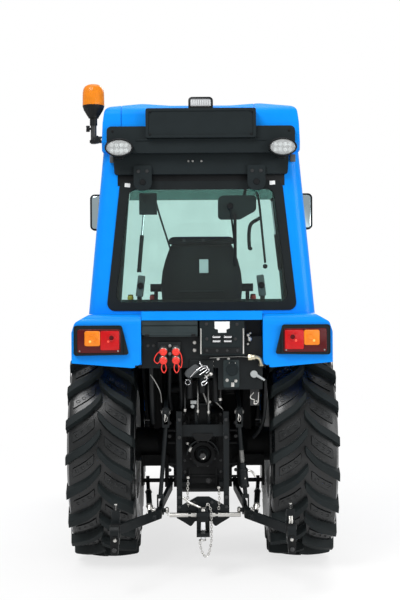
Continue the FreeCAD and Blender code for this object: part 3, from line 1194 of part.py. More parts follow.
def rear_roof_panel():
    """Black panel behind the roof, the plate holder on it and the tray above the rear window."""
    face = ROOF_REAR - SEAT_GAP
    low = CAB_TOP - PANEL_DROP
    panel = front_plate(rounded_rectangle(PANEL_HALF, low, low + PANEL_HEIGHT, 24), PANEL_REAR, face)
    reach = LAMP_X - LAMP_WIDE / 2 - 10
    fold = box(-reach, reach, PANEL_REAR - 5, PANEL_REAR, low + 62, low + 70)
    plate_low = CAB_TOP + PLATE_RISE
    holder = front_plate(rounded_rectangle(PLATE_HALF, plate_low, plate_low + PLATE_HEIGHT, 10),
                         PANEL_REAR - PLATE_DEPTH, face)
    shallow = front_plate(rounded_rectangle(PLATE_HALF - 14, plate_low + 14,
                                            plate_low + PLATE_HEIGHT - 14, 8),
                          PANEL_REAR - PLATE_DEPTH - 1, PANEL_REAR - PLATE_DEPTH + 4)
    tray_low = CAB_TOP - TRAY_HEIGHT
    tray = front_plate([(-TRAY_HALF + 8, tray_low, 10), (-TRAY_HALF, CAB_TOP - SEAT_GAP),
                        (TRAY_HALF, CAB_TOP - SEAT_GAP), (TRAY_HALF - 8, tray_low, 10)],
                       CAB_REAR - SEAT_GAP - TRAY_DEPTH, CAB_REAR - SEAT_GAP)
    bridge = box(-TRAY_HALF, TRAY_HALF, PANEL_REAR, CAB_REAR - 20, CAB_TOP - 8, CAB_TOP - SEAT_GAP)
    save("rear_roof_panel", joined(panel, fold, holder.cut(shallow), tray, bridge))


def work_lamps():
    """Two lamps on the rear panel, two in the roof's front, and the lamp over the plate holder."""
    rear = PANEL_REAR - SEAT_GAP
    back = oval(LAMP_X, CAB_TOP + LAMP_RISE, rear - LAMP_DEPTH, rear, LAMP_WIDE, LAMP_HIGH)
    back = back.cut(oval(LAMP_X, CAB_TOP + LAMP_RISE, rear - LAMP_DEPTH - 1, rear - LAMP_DEPTH + LAMP_RIM,
                         LAMP_WIDE - 2 * LAMP_RIM, LAMP_HIGH - 2 * LAMP_RIM))
    high = CAB_TOP + FRONT_LAMP_RISE
    front = oval(FRONT_LAMP_X, high, ROOF_FRONT - 60 + SEAT_GAP, ROOF_FRONT + 12, LAMP_WIDE, LAMP_HIGH)
    front = front.cut(oval(FRONT_LAMP_X, high, ROOF_FRONT + 12 - LAMP_RIM, ROOF_FRONT + 13,
                           LAMP_WIDE - 2 * LAMP_RIM, LAMP_HIGH - 2 * LAMP_RIM))
    low = CAB_TOP + PLATE_RISE + PLATE_HEIGHT + SEAT_GAP
    plate_lamp = front_plate([(-PLATE_LAMP_HALF, low), (-PLATE_LAMP_HALF, low + PLATE_LAMP_HEIGHT, 16),
                              (PLATE_LAMP_HALF, low + PLATE_LAMP_HEIGHT, 16), (PLATE_LAMP_HALF, low)],
                             PANEL_REAR - PLATE_DEPTH + 4, PANEL_REAR + 10)
    save("work_lamps", *both(back, front), plate_lamp)


def lens_outline(margin):
    low = FENDER_LIP + TAIL_LAMP_RISE
    left = TAIL_LAMP_IN - margin
    right = TAIL_LAMP_OUT + margin
    high = low + TAIL_LAMP_HEIGHT + margin
    return [(left, low - margin, 12), (left, high, 12), (right, high, 12), (right, low - margin, 12)]


def tail_lamps():
    face = FENDER_REAR - SEAT_GAP
    low = FENDER_LIP + TAIL_LAMP_RISE
    high = low + TAIL_LAMP_HEIGHT + PLAQUE_HEAD
    plaque = front_plate([(PLAQUE_IN, low - PLAQUE_FOOT, 10), (PLAQUE_IN + PLAQUE_SLANT, high, 14),
                          (PLAQUE_OUT, high, 14), (PLAQUE_OUT, low - PLAQUE_FOOT - 4, 14)],
                         face - BEZEL_DEPTH, face)
    front = face - BEZEL_DEPTH
    frame = front_plate(lens_outline(10), front - TAIL_LAMP_DEPTH + 6, front)
    frame = frame.cut(front_plate(lens_outline(SEAT_GAP), front - TAIL_LAMP_DEPTH, front))
    lens = front_plate(lens_outline(0), front - TAIL_LAMP_DEPTH, front - SEAT_GAP)
    save("tail_lamp_bezels", *both(joined(plaque, frame)))
    save("tail_lamp_lenses", *both(lens))


def beacon():
    """Rotating beacon on its pole, carried by an arm at the roof's left rear corner."""
    x = -BEACON_X
    y = ROOF_REAR + 20
    low = CAB_TOP + BEACON_ARM_RISE
    top = low + BEACON_POLE
    pole = rod((x, y, low), (x, y, top), BEACON_POLE_RADIUS)
    profile = [(0, top - 8), (24, top - 8), (BEACON_RADIUS, top + BEACON_BOWL - 8)]
    dome = top + BEACON_BOWL - 8
    profile += [(BEACON_RADIUS - 1, dome + 48), (BEACON_RADIUS - 8, dome + 72), (34, dome + 90),
                (0, dome + BEACON_DOME)]
    head = Part.makePolygon([Vector(x + r, y, z) for r, z in profile + profile[:1]])
    head = Part.Face(head).revolve(Vector(x, y, 0), Vector(0, 0, 1), 360)
    wall = -CAB_HALF_TOP - SEAT_GAP
    arm = box(x, wall + 20, y - 16, y + 16, low, low + 40)
    side = front_plate([(wall, CAB_TOP), (wall + 6, CAB_TOP + 140), (wall + 100, CAB_TOP + 140),
                        (wall + 100, CAB_TOP)], y - 40, y + 40)
    save("beacon", joined(pole, head, arm.cut(side)))


# ---- equipment behind the cab -----------------------------------------------------------------
def rear_equipment():
    """Panel under the rear window with the tool box, the valve box, the couplers and the socket."""
    half = TUB_HALF - 2
    front = CAB_REAR + TUB_REAR_GAP - SEAT_GAP
    panel_low = EQUIPMENT_TOP + 2
    panel = box(-half, half, FENDER_REAR + 4, front, panel_low, CAB_BASE + 14)
    panel = panel.cut(box(-half - 1, half + 1, CAB_REAR - 6, front + 1, CAB_BASE - SEAT_GAP, CAB_BASE + 20))
    save("rear_panel", panel)
    rear = PLATE_Y - PLATE_THICKNESS
    upper_rear = UPPER_PLATE_Y - PLATE_THICKNESS
    lower = box(-half, half, rear, PLATE_Y, LOWER_PLATE_BOTTOM, SHELF_Z)
    notch = box(-half - 1, SOCKET_X - 70, rear - 1, PLATE_Y + 1, LOWER_PLATE_BOTTOM - 1, SOCKET_Z + 6)
    lower = lower.cut(notch)
    shelf = box(-half, half, rear, front, SHELF_Z, SHELF_Z + PLATE_THICKNESS)
    upper = box(-half, half, upper_rear, UPPER_PLATE_Y, SHELF_Z, panel_low - SEAT_GAP)
    save("equipment_plate", joined(lower, shelf, upper))
    seat = upper_rear - SEAT_GAP
    left = -half
    low = EQUIPMENT_TOP - TOOL_BOX_HEIGHT
    lid = front_plate([(left, low + 14, 6), (left, EQUIPMENT_TOP, 6), (TOOL_BOX_RIGHT, EQUIPMENT_TOP, 6),
                       (TOOL_BOX_RIGHT, low, 6), (left + 20, low, 6)], EQUIPMENT_FACE, seat)
    fold = front_plate([(left - 1, low + 52), (left - 1, low + 58), (TOOL_BOX_RIGHT + 1, low + 58),
                        (TOOL_BOX_RIGHT + 1, low + 52)], EQUIPMENT_FACE - 1, EQUIPMENT_FACE + 5)
    save("tool_box", lid.cut(fold))
    lower_seat = rear - SEAT_GAP
    shelf_top = SHELF_Z + PLATE_THICKNESS + SEAT_GAP
    profile = [(EQUIPMENT_FACE, VALVE_BOX_BOTTOM, 6), (lower_seat, VALVE_BOX_BOTTOM), (lower_seat, shelf_top),
               (seat, shelf_top), (seat, EQUIPMENT_TOP), (EQUIPMENT_FACE, EQUIPMENT_TOP, 6)]
    save("valve_box", side_plate(profile, VALVE_BOX_LEFT, VALVE_BOX_RIGHT))
    block = box(COUPLER_XS[0] - COUPLER_BLOCK_LEFT, COUPLER_XS[1] + COUPLER_BLOCK_RIGHT,
                lower_seat - 26, lower_seat, COUPLER_ZS[0] - 28, SHELF_Z - 15)
    couplers = []
    for x in COUPLER_XS:
        for z in COUPLER_ZS:
            for reach, radius in ((24, COUPLER_RADIUS + 4), (COUPLER_LENGTH - 14, COUPLER_RADIUS),
                                  (COUPLER_LENGTH, COUPLER_RADIUS - 3)):
                couplers.append(rod((x, lower_seat - 25, z), (x, lower_seat - 26 - reach, z), radius))
    save("hydraulic_couplers", joined(block, *couplers))
    base = front_plate([(SOCKET_X - 44, LOWER_PLATE_BOTTOM + 10, 8), (SOCKET_X - 44, SOCKET_Z + 47, 8),
                        (SOCKET_X + 36, SOCKET_Z + 47, 8), (SOCKET_X + 36, LOWER_PLATE_BOTTOM + 10, 8)],
                       lower_seat - 14, lower_seat)
    cup = rod((SOCKET_X, lower_seat - 44, SOCKET_Z), (SOCKET_X, lower_seat - 10, SOCKET_Z), SOCKET_RADIUS - 4)
    cap = rod((SOCKET_X, lower_seat - 50, SOCKET_Z), (SOCKET_X, lower_seat - 38, SOCKET_Z), SOCKET_RADIUS)
    hinge = box(SOCKET_X - 14, SOCKET_X + 14, lower_seat - 50, lower_seat - 10, SOCKET_Z + SOCKET_RADIUS - 8,
                SOCKET_Z + SOCKET_RADIUS + 4)
    save("trailer_socket", joined(base, cup, cap, hinge))


# ---- inside the cab ---------------------------------------------------------------------------
def seat():
    base = box(-SEAT_BASE_HALF, SEAT_BASE_HALF, SEAT_REAR - 20, SEAT_FRONT - 160, SEAT_FLOOR, SEAT_HEIGHT)
    post_y = SEAT_REAR + 20
    foot = box(SEAT_BASE_HALF - 1, ARMREST_X + 12, post_y, post_y + 36, SEAT_FLOOR + 20, SEAT_FLOOR + 50)
    post = box(ARMREST_X - 8, ARMREST_X + 12, post_y, post_y + 36, SEAT_FLOOR + 20, ARMREST_Z - 30)
    rest = side_plate([(SEAT_REAR, ARMREST_Z - 44, 16), (SEAT_REAR, ARMREST_Z, 20),
                       (SEAT_FRONT - 160, ARMREST_Z, 14), (SEAT_FRONT - 160, ARMREST_Z - 30, 10)],
                      ARMREST_X - 28, ARMREST_X + 32)
    save("seat_base", joined(base, *both(foot, post, rest)))
    cushion = flat_plate([(-SEAT_HALF, SEAT_REAR, 40), (-SEAT_HALF, SEAT_FRONT, 90),
                          (SEAT_HALF, SEAT_FRONT, 90), (SEAT_HALF, SEAT_REAR, 40)],
                         SEAT_HEIGHT + SEAT_GAP, SEAT_HEIGHT + CUSHION)
    save("seat_cushion", cushion)
    low = SEAT_HEIGHT + 26
    back = front_plate([(-BACK_HALF, low, 60), (-BACK_HALF + 20, BACK_TOP, 90),
                        (BACK_HALF - 20, BACK_TOP, 90), (BACK_HALF, low, 60)],
                       SEAT_REAR - SEAT_GAP - BACK_DEPTH, SEAT_REAR - SEAT_GAP)
    save("seat_back", back)


def dashboard():
    front = CAB_FRONT - FIREWALL - 10 - SEAT_GAP
    low = SILL + SEAT_GAP
    top = CAB_BASE - 5
    dash = side_plate([(front, low), (front, top, 10), (front - 120, top + 20, 40),
                       (front - 200, top - 30, 50), (front - 150, low)], -DASH_HALF, DASH_HALF)
    tilt = math.radians(WHEEL_TILT)
    axis = Vector(0, math.sin(tilt), -math.cos(tilt))
    hub = Vector(*WHEEL_CENTRE)
    column = Part.makeCylinder(24, 260, hub + axis * (30 + SEAT_GAP), axis)
    save("dashboard", joined(dash, column))
    grip = []
    for k in range(8):
        angle = math.pi * (k + 0.5) / 4
        grip.append(Vector(WHEEL_RADIUS + WHEEL_GRIP * math.cos(angle), 0, WHEEL_GRIP * math.sin(angle)))
    ring = Part.Face(Part.makePolygon(grip + grip[:1])).revolve(Vector(0, 0, 0), Vector(0, 0, 1), 360)
    spokes = []
    for k in range(3):
        angle = math.pi / 2 + k * 2 * math.pi / 3
        reach = WHEEL_RADIUS - 4
        spokes.append(rod((0, 0, 0), (reach * math.cos(angle), reach * math.sin(angle), 0), 9))
    wheel = joined(ring, rod((0, 0, -30), (0, 0, 10), 36), *spokes)
    wheel.rotate(Vector(0, 0, 0), Vector(1, 0, 0), WHEEL_TILT)
    save("steering_wheel", moved_to(wheel, *WHEEL_CENTRE))


def control_levers():
    """Consoles on the two fenders, with short levers in them."""
    levers = []
    top = FENDER_TOP + CONSOLE_HEIGHT
    for side, knobs in ((1, KNOB_XS_RIGHT), (-1, KNOB_XS_LEFT)):
        x0, x1 = sorted((side * CONSOLE_IN, side * CONSOLE_OUT))
        pieces = [box(x0, x1, CONSOLE_REAR, CONSOLE_FRONT, FENDER_TOP + SEAT_GAP, top)]
        for x in knobs:
            foot = (side * max(x, LEVER_FOOT_X), LEVER_Y, top - 6)
            head = Vector(side * x, LEVER_Y - LEVER_LEAN, top + LEVER_RISE)
            pieces.append(rod(foot, head, 6))
            pieces.append(rod(head - Vector(0, 0, 8), head + Vector(0, 0, 18), KNOB_RADIUS))
        levers.append(joined(*pieces))
    save("control_levers", *levers)


# ---- mirrors, hood, tank and steps ------------------------------------------------------------
def mirrors():
    half = MIRROR_WIDTH / 2
    low = MIRROR_Z - MIRROR_HEIGHT / 2
    high = MIRROR_Z + MIRROR_HEIGHT / 2
    head = front_plate([(MIRROR_X - half, low, 20), (MIRROR_X - half, high, 20), (MIRROR_X + half, high, 30),
                        (MIRROR_X + half, low, 30)], MIRROR_Y, MIRROR_Y + 30)
    arm = rod((cab_half(MIRROR_Z) - 20, CAB_FRONT - 110, high - 25), (MIRROR_X, MIRROR_Y + 10, high - 25), 9)
    save("mirrors", *both(joined(head, arm).cut(cab_hull(-SEAT_GAP, CAB_BASE, CAB_TOP))))


def hood_form(inset):
    half = HOOD_HALF - inset
    low = HOOD_BOTTOM
    top = HOOD_TOP - inset
    nose = HOOD_NOSE - inset
    nose_top = HOOD_TOP - HOOD_DROP - inset
    side = side_plate([(HOOD_REAR, low), (HOOD_REAR, top), (HOOD_NOSE - 420, nose_top + 45, 300),
                       (nose - HOOD_LEAN, nose_top - 40, 90), (nose, low)], -HOOD_HALF - 50, HOOD_HALF + 50)
    cross = front_plate([(-half, low), (-half + 12, top - 110, 60), (-half + 90, top, 90),
                         (half - 90, top, 90), (half - 12, top - 110, 60), (half, low)], HOOD_REAR - 10,
                        HOOD_NOSE + 10)
    plan = flat_plate([(-half, HOOD_REAR - 5), (half, HOOD_REAR - 5), (half - 6, HOOD_NOSE - 260, 200),
                       (half - 70, nose, 90), (-half + 70, nose, 90), (-half + 6, HOOD_NOSE - 260, 200)],
                      low - 10, HOOD_TOP + 10)
    return side.common(cross).common(plan)


def mouth(inset):
    low = HOOD_BOTTOM + MOUTH_FLOOR + inset
    high = HOOD_BOTTOM + MOUTH_FLOOR + MOUTH_HEIGHT - inset
    half = MOUTH_HALF - inset
    return [(-half, low, 40), (-half, high, 60), (half, high, 60), (half, low, 40)]


def nose_slab(front, back):
    """A slab that leans like the hood's nose, between two depths behind its skin."""
    rise = HOOD_TOP - HOOD_DROP - 40 - HOOD_BOTTOM
    low = HOOD_BOTTOM - 20
    high = HOOD_BOTTOM + rise
    foot = HOOD_NOSE + HOOD_LEAN * 20 / rise
    head = HOOD_NOSE - HOOD_LEAN
    return side_plate([(foot - front, low), (head - front, high), (head - back, high), (foot - back, low)],
                      -HOOD_HALF, HOOD_HALF)


def headlight_outline(gap):
    high = HOOD_BOTTOM + MOUTH_FLOOR + MOUTH_HEIGHT - 16 + gap
    low = high - HEADLIGHT_HEIGHT - 2 * gap
    outer = MOUTH_HALF - 10 + gap
    inner = outer - HEADLIGHT_WIDTH - 2 * gap
    return [(inner, low, 16), (inner, high, 16), (outer, high, 40), (outer, low, 16)]


def hood():
    shell = hood_form(0).cut(hood_form(HOOD_WALL))
    shell = shell.cut(front_plate(mouth(0), HOOD_NOSE - 160, HOOD_NOSE + 20))
    vents = []
    for k in range(VENT_SLOTS):
        z = HOOD_BOTTOM + 110 + k * VENT_PITCH
        vents.append(box(HOOD_HALF - 60, HOOD_HALF + 10, HOOD_REAR + 560, HOOD_REAR + 860, z,
                         z + VENT_HEIGHT))
    for opening in both(*vents):
        shell = shell.cut(opening)
    y = HOOD_HINGE_Y
    z = HOOD_HINGE_Z
    lug = side_plate([(y - 10, HOOD_TOP - 5), (y - 10, z - 10, 9), (y + 10, z - 10, 9),
                      (y + 10, HOOD_TOP - 5)], HOOD_HINGE_X + 14, HOOD_HINGE_X + 24)
    lug = lug.cut(rod((HOOD_HINGE_X, y, z), (HOOD_HINGE_X + 40, y, z), HINGE_PIN + SEAT_GAP))
    save("hood", joined(shell, *both(lug)))
    grille = front_plate(mouth(SEAT_GAP), HOOD_NOSE - 160,
                         HOOD_NOSE + 20).common(nose_slab(4, 4 + GRILLE_DEPTH))
    low = HOOD_BOTTOM + MOUTH_FLOOR
    for k in range(GRILLE_SLATS):
        z = low + 26 + k * 22
        grille = grille.cut(box(-MOUTH_HALF + 30, MOUTH_HALF - 30, HOOD_NOSE - 160, HOOD_NOSE + 20, z,
                                z + 12))
    pocket = front_plate(headlight_outline(SEAT_GAP), HOOD_NOSE - 160,
                         HOOD_NOSE + 20).common(nose_slab(0, 12))
    lamp = front_plate(headlight_outline(0), HOOD_NOSE - 160,
                       HOOD_NOSE + 20).common(nose_slab(1, 12 - SEAT_GAP))
    for opening in both(pocket):
        grille = grille.cut(opening)
    save("grille", grille)
    save("headlights", *both(lamp))


def tank_and_steps():
    top = SILL - FLOOR_THICKNESS - 30
    tank = side_plate([(TANK_REAR, TANK_BOTTOM, 40), (TANK_REAR, top, 20), (TANK_FRONT, top, 20),
                       (TANK_FRONT, TANK_BOTTOM, 40)], HOUSING_WAIST / 2 + SEAT_GAP, TANK_HALF)
    save("fuel_tank", mirrored(tank))
    high = SILL - FLOOR_THICKNESS - SEAT_GAP
    x0 = STEP_X + 10
    front = STEP_REAR + STEP_DEPTH
    step = joined(box(STEP_X, STEP_X + STEP_WIDTH, STEP_REAR, front, STEP_Z, STEP_Z + STEP_PLATE),
                  box(x0, x0 + STEP_PLATE, STEP_REAR, STEP_REAR + STEP_PLATE, STEP_Z, high),
                  box(x0, x0 + STEP_PLATE, front - STEP_PLATE, front, STEP_Z, high))
    save("steps", *both(step))


os.makedirs("parts", exist_ok=True)
rear_wheels()
front_wheels()
gearbox()
front_frame()
engine()
front_axle()
knuckles()
rockshaft()
lift_rods()
lower_links()
hitch_frame()
shaft_and_top_link()
cab()
window_fittings()
cab_floor()
fenders()
roof()
rear_roof_panel()
work_lamps()
tail_lamps()
beacon()
rear_equipment()
seat()
dashboard()
control_levers()
mirrors()
hood()
tank_and_steps()
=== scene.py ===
"""Looks of a compact farm tractor with a cab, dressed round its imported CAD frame. Metres, +Y forward."""
import json
import math

import bmesh
import bpy
from mathutils import Matrix, Vector


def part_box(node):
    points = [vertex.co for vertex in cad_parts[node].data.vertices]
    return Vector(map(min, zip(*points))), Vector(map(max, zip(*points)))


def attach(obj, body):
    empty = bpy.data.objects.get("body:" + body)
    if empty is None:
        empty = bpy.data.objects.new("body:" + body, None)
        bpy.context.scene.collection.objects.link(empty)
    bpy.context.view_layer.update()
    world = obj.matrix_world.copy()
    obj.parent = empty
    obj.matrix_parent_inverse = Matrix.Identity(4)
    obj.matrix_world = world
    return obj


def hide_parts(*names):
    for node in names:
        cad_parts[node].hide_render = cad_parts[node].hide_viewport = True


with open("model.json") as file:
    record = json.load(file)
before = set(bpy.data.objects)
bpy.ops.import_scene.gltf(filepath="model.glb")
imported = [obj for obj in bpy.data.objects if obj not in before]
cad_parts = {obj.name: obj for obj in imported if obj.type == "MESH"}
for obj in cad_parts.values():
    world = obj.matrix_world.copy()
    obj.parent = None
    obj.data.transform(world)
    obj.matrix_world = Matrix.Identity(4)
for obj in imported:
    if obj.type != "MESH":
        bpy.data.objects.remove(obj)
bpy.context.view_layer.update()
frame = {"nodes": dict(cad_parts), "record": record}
NODES = frame["nodes"]
RIGHT, LEFT = 1, -1
SIDES = ((RIGHT, "right"), (LEFT, "left"))
X, Y, Z = Vector((1, 0, 0)), Vector((0, 1, 0)), Vector((0, 0, 1))
MM = 0.001
scene = bpy.context.scene


def box(node):
    """Low and high corner of a CAD node's box, in millimetres as all pieces are made."""
    return tuple(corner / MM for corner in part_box(node))


def low(node):
    return box(node)[0]


# ---- camera -----------------------------------------------------------------------------------
REAR_AXLE_Y = sum(corner.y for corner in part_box("rear_tyre_right")) / 2
CAMERA_BACK = 6.0
CAMERA_HEIGHT = 1.40
CAMERA_ROLL = math.radians(0.35)
LENS_LENGTH = 65.0
SENSOR_WIDTH = 36.0
PICTURE_SHIFT = -0.003
CAMERA_REACH = 60
camera = bpy.data.objects.new("camera", bpy.data.cameras.new("camera"))
scene.collection.objects.link(camera)
scene.camera = camera
camera.data.lens = LENS_LENGTH
camera.data.sensor_width = SENSOR_WIDTH
camera.data.shift_x = PICTURE_SHIFT
camera.data.clip_end = CAMERA_REACH
camera.location = (0.0, REAR_AXLE_Y - CAMERA_BACK, CAMERA_HEIGHT)
camera.rotation_euler = (math.radians(90), CAMERA_ROLL, 0)


# ---- materials --------------------------------------------------------------------------------
def adder(tree):
    """A helper that adds a node to a tree and links or sets its inputs."""
    def add(kind, **inputs):
        node = tree.nodes.new("ShaderNode" + kind)
        for key, value in inputs.items():
            key = key.replace("_", " ")
            if isinstance(value, bpy.types.NodeSocket):
                tree.links.new(value, node.inputs[key])
            else:
                node.inputs[key].default_value = value
        return node

    return add


def node_material(name):
    """A new node material: its tree, its output and the helper that adds its nodes."""
    made = bpy.data.materials.new(name)
    made.use_nodes = True
    tree = made.node_tree
    tree.nodes.clear()
    output = tree.nodes.new("ShaderNodeOutputMaterial")
    return made, tree, output, adder(tree)


def ramp(tree, source, first, last, start=0.3, end=0.7):
    """A number that goes from first to last as source goes from start to end."""
    node = tree.nodes.new("ShaderNodeMapRange")
    tree.links.new(source, node.inputs["Value"])
    for key, value in (("From Min", start), ("From Max", end), ("To Min", first), ("To Max", last)):
        node.inputs[key].default_value = value
    return node.outputs[0]


def blend_color(tree, factor, first, second):
    node = tree.nodes.new("ShaderNodeMix")
    node.data_type = "RGBA"
    for socket, value in ((node.inputs[0], factor), (node.inputs[6], first), (node.inputs[7], second)):
        if isinstance(value, bpy.types.NodeSocket):
            tree.links.new(value, socket)
        else:
            socket.default_value = value if isinstance(value, float) else (*value, 1)
    return node.outputs[2]


def finish(name, color, rough=0.5, metal=0.0, coat=0.0, grain=400.0, bump=0.1, mottle=0.12, wear=None,
           edge=0.0015, gloss=0.5, sheen=0.0, spread=0.06):
    """A surface with colour variation, uneven gloss, a fine grain, rounded edges and worn edges."""
    made, tree, output, add = node_material(name)
    place = add("TexCoord").outputs["Object"]
    broad = add("TexNoise", Vector=place, Scale=9.0, Detail=5.0, Roughness=0.6).outputs[0]
    fine = add("TexNoise", Vector=place, Scale=grain, Detail=3.0, Roughness=0.55).outputs[0]
    dark = [c * (1 - mottle) for c in color]
    light = [min(1.0, c * (1 + mottle) + 0.004 * mottle) for c in color]
    shade = blend_color(tree, ramp(tree, broad, 0.0, 1.0), dark, light)
    bevel = add("Bevel", Radius=edge)
    bevel.samples = 3
    if wear:
        turned = add("VectorMath")
        turned.operation = "DOT_PRODUCT"
        tree.links.new(bevel.outputs[0], turned.inputs[0])
        tree.links.new(add("NewGeometry").outputs["Normal"], turned.inputs[1])
        scuff = add("Math", Value=ramp(tree, turned.outputs["Value"], 0.7, 0.0, 0.80, 0.97))
        scuff.operation = "MULTIPLY"
        tree.links.new(ramp(tree, broad, 0.0, 1.0, 0.45, 0.60), scuff.inputs[1])
        shade = blend_color(tree, scuff.outputs[0], shade, wear)
    relief = add("Bump", Height=fine, Strength=bump, Distance=0.0006, Normal=bevel.outputs[0])
    skin = add("BsdfPrincipled", Base_Color=shade, Normal=relief.outputs[0], Metallic=metal,
               Roughness=ramp(tree, broad, max(0.02, rough - spread), min(1.0, rough + spread)))
    skin.inputs["Coat Weight"].default_value = coat
    skin.inputs["Coat Roughness"].default_value = 0.06
    skin.inputs["Specular IOR Level"].default_value = gloss
    skin.inputs["Sheen Weight"].default_value = sheen
    tree.links.new(skin.outputs[0], output.inputs["Surface"])
    return made


def glass(name, tint):
    """Clear tinted glass that lets lamps through, with a faint unevenness."""
    made, tree, output, add = node_material(name)
    place = add("TexCoord").outputs["Object"]
    cloud = add("TexNoise", Vector=place, Scale=6.0, Detail=2.0).outputs[0]
    shade = blend_color(tree, ramp(tree, cloud, 0.0, 1.0), [c * 0.97 for c in tint], tint)
    mirror = add("BsdfGlossy", Roughness=0.02)
    clear = add("BsdfTransparent", Color=shade)
    power = add("Math")
    power.operation = "POWER"
    tree.links.new(add("LayerWeight", Blend=0.5).outputs["Facing"], power.inputs[0])
    power.inputs[1].default_value = 5.0
    face = add("Math")
    face.operation = "MULTIPLY_ADD"
    tree.links.new(power.outputs[0], face.inputs[0])
    face.inputs[1].default_value = 0.90
    face.inputs[2].default_value = 0.028
    mix = add("MixShader")
    tree.links.new(face.outputs[0], mix.inputs[0])
    tree.links.new(clear.outputs[0], mix.inputs[1])
    tree.links.new(mirror.outputs[0], mix.inputs[2])
    tree.links.new(mix.outputs[0], output.inputs["Surface"])
    return made


BLUE = finish("blue_paint", (0.0, 0.232, 0.80), rough=0.34, coat=0.10, grain=900, bump=0.03, mottle=0.03,
              gloss=0.1)
BLACK_PAINT = finish("black_paint", (0.0065, 0.0085, 0.0095), rough=0.40, grain=500, bump=0.12,
                     wear=(0.16, 0.16, 0.16), gloss=0.18)
CAST = finish("cast_dark", (0.0050, 0.0056, 0.0060), rough=0.55, grain=260, bump=0.6, mottle=0.35,
              wear=(0.07, 0.07, 0.07), gloss=0.16)
CHARCOAL = finish("charcoal_plastic", (0.0085, 0.0130, 0.0145), rough=0.55, grain=1100, bump=0.35, mottle=0.1,
                  gloss=0.14)
PLASTIC = finish("black_plastic", (0.0042, 0.0052, 0.0060), rough=0.42, grain=1200, bump=0.25, mottle=0.15,
                 gloss=0.2)
RUBBER = finish("tyre_rubber", (0.0048, 0.0060, 0.0066), rough=0.30, grain=320, bump=0.2, mottle=0.25,
                gloss=0.45)
LUG_FACE = finish("tyre_lug_face", (0.0105, 0.0140, 0.0148), rough=0.6, grain=260, bump=0.4, mottle=0.2,
                  gloss=0.14)
SEAL = finish("rubber_seal", (0.0075, 0.0105, 0.0115), rough=0.6, grain=700, bump=0.15, gloss=0.14)
STEEL = finish("bright_steel", (0.62, 0.61, 0.58), rough=0.32, metal=1.0, grain=500, bump=0.2, mottle=0.2)
DULL_STEEL = finish("dull_steel", (0.30, 0.30, 0.29), rough=0.5, metal=0.9, grain=300, bump=0.4, mottle=0.3)
CHROME = finish("chrome", (0.85, 0.86, 0.88), rough=0.1, metal=1.0, grain=200, bump=0.02, mottle=0.04)
BRASS = finish("brass", (0.66, 0.60, 0.44), rough=0.32, metal=0.9, grain=400, bump=0.15)
WHEEL = finish("wheel_paint", (0.62, 0.63, 0.63), rough=0.38, coat=0.3, grain=700, bump=0.06, mottle=0.06,
               wear=(0.2, 0.2, 0.2))
RED_CAP = finish("red_rubber", (0.80, 0.035, 0.02), rough=0.4, grain=600, bump=0.1, mottle=0.12)
WHITE = finish("white_plastic", (0.74, 0.76, 0.76), rough=0.45, grain=500, bump=0.1, mottle=0.05)
YELLOW = finish("yellow_plastic", (0.80, 0.55, 0.03), rough=0.4, grain=500, bump=0.1)
GREY = finish("grey_sheath", (0.060, 0.066, 0.070), rough=0.5, grain=500, bump=0.2)
FABRIC = finish("seat_fabric", (0.0060, 0.0078, 0.0095), rough=0.85, grain=1500, bump=0.8, mottle=0.3,
                sheen=0.3, edge=0.004, gloss=0.1)
PALE_GREY = finish("pale_grey_plastic", (0.36, 0.38, 0.38), rough=0.4, grain=500, bump=0.1)
DARK_STEEL = finish("dark_steel", (0.055, 0.055, 0.056), rough=0.42, metal=0.8, grain=300, bump=0.3,
                    mottle=0.3)
MIRROR = finish("mirror_glass", (0.50, 0.61, 0.65), rough=0.06, metal=1.0, grain=40, bump=0.0, mottle=0.02,
                spread=0.02)
TOOL_BOX = finish("tool_box_plastic", (0.024, 0.034, 0.036), rough=0.5, grain=1100, bump=0.3, gloss=0.16)
DARK_FITTING = finish("dark_fittings", (0.020, 0.021, 0.022), rough=0.4, grain=300, bump=0.2, mottle=0.3,
                      gloss=0.4)
GLASS = glass("tinted_glass", (0.835, 0.935, 0.915))


def lens(name, color, clear=0.0, ribs=0.0):
    """Coloured lamp plastic: part clear, part glowing with its own colour, with fine moulded ribs."""
    made, tree, output, add = node_material(name)
    place = add("TexCoord").outputs["Object"]
    cloud = add("TexNoise", Vector=place, Scale=30.0, Detail=2.0).outputs[0]
    shade = blend_color(tree, ramp(tree, cloud, 0.0, 1.0), [c * 0.86 for c in color], color)
    wave = add("TexWave", Vector=place, Scale=62.0)
    wave.bands_direction = "X"
    relief = add("Bump", Height=wave.outputs[1], Strength=ribs, Distance=0.0012)
    skin = add("BsdfPrincipled", Base_Color=shade, Roughness=0.16, Normal=relief.outputs[0])
    skin.inputs["Coat Weight"].default_value = 0.12
    skin.inputs["Specular IOR Level"].default_value = 0.2
    skin.inputs["Emission Strength"].default_value = 0.04
    tree.links.new(shade, skin.inputs["Emission Color"])
    through = add("BsdfTransparent", Color=shade)
    mix = add("MixShader", Fac=1.0 - clear)
    tree.links.new(through.outputs[0], mix.inputs[1])
    tree.links.new(skin.outputs[0], mix.inputs[2])
    tree.links.new(mix.outputs[0], output.inputs["Surface"])
    return made


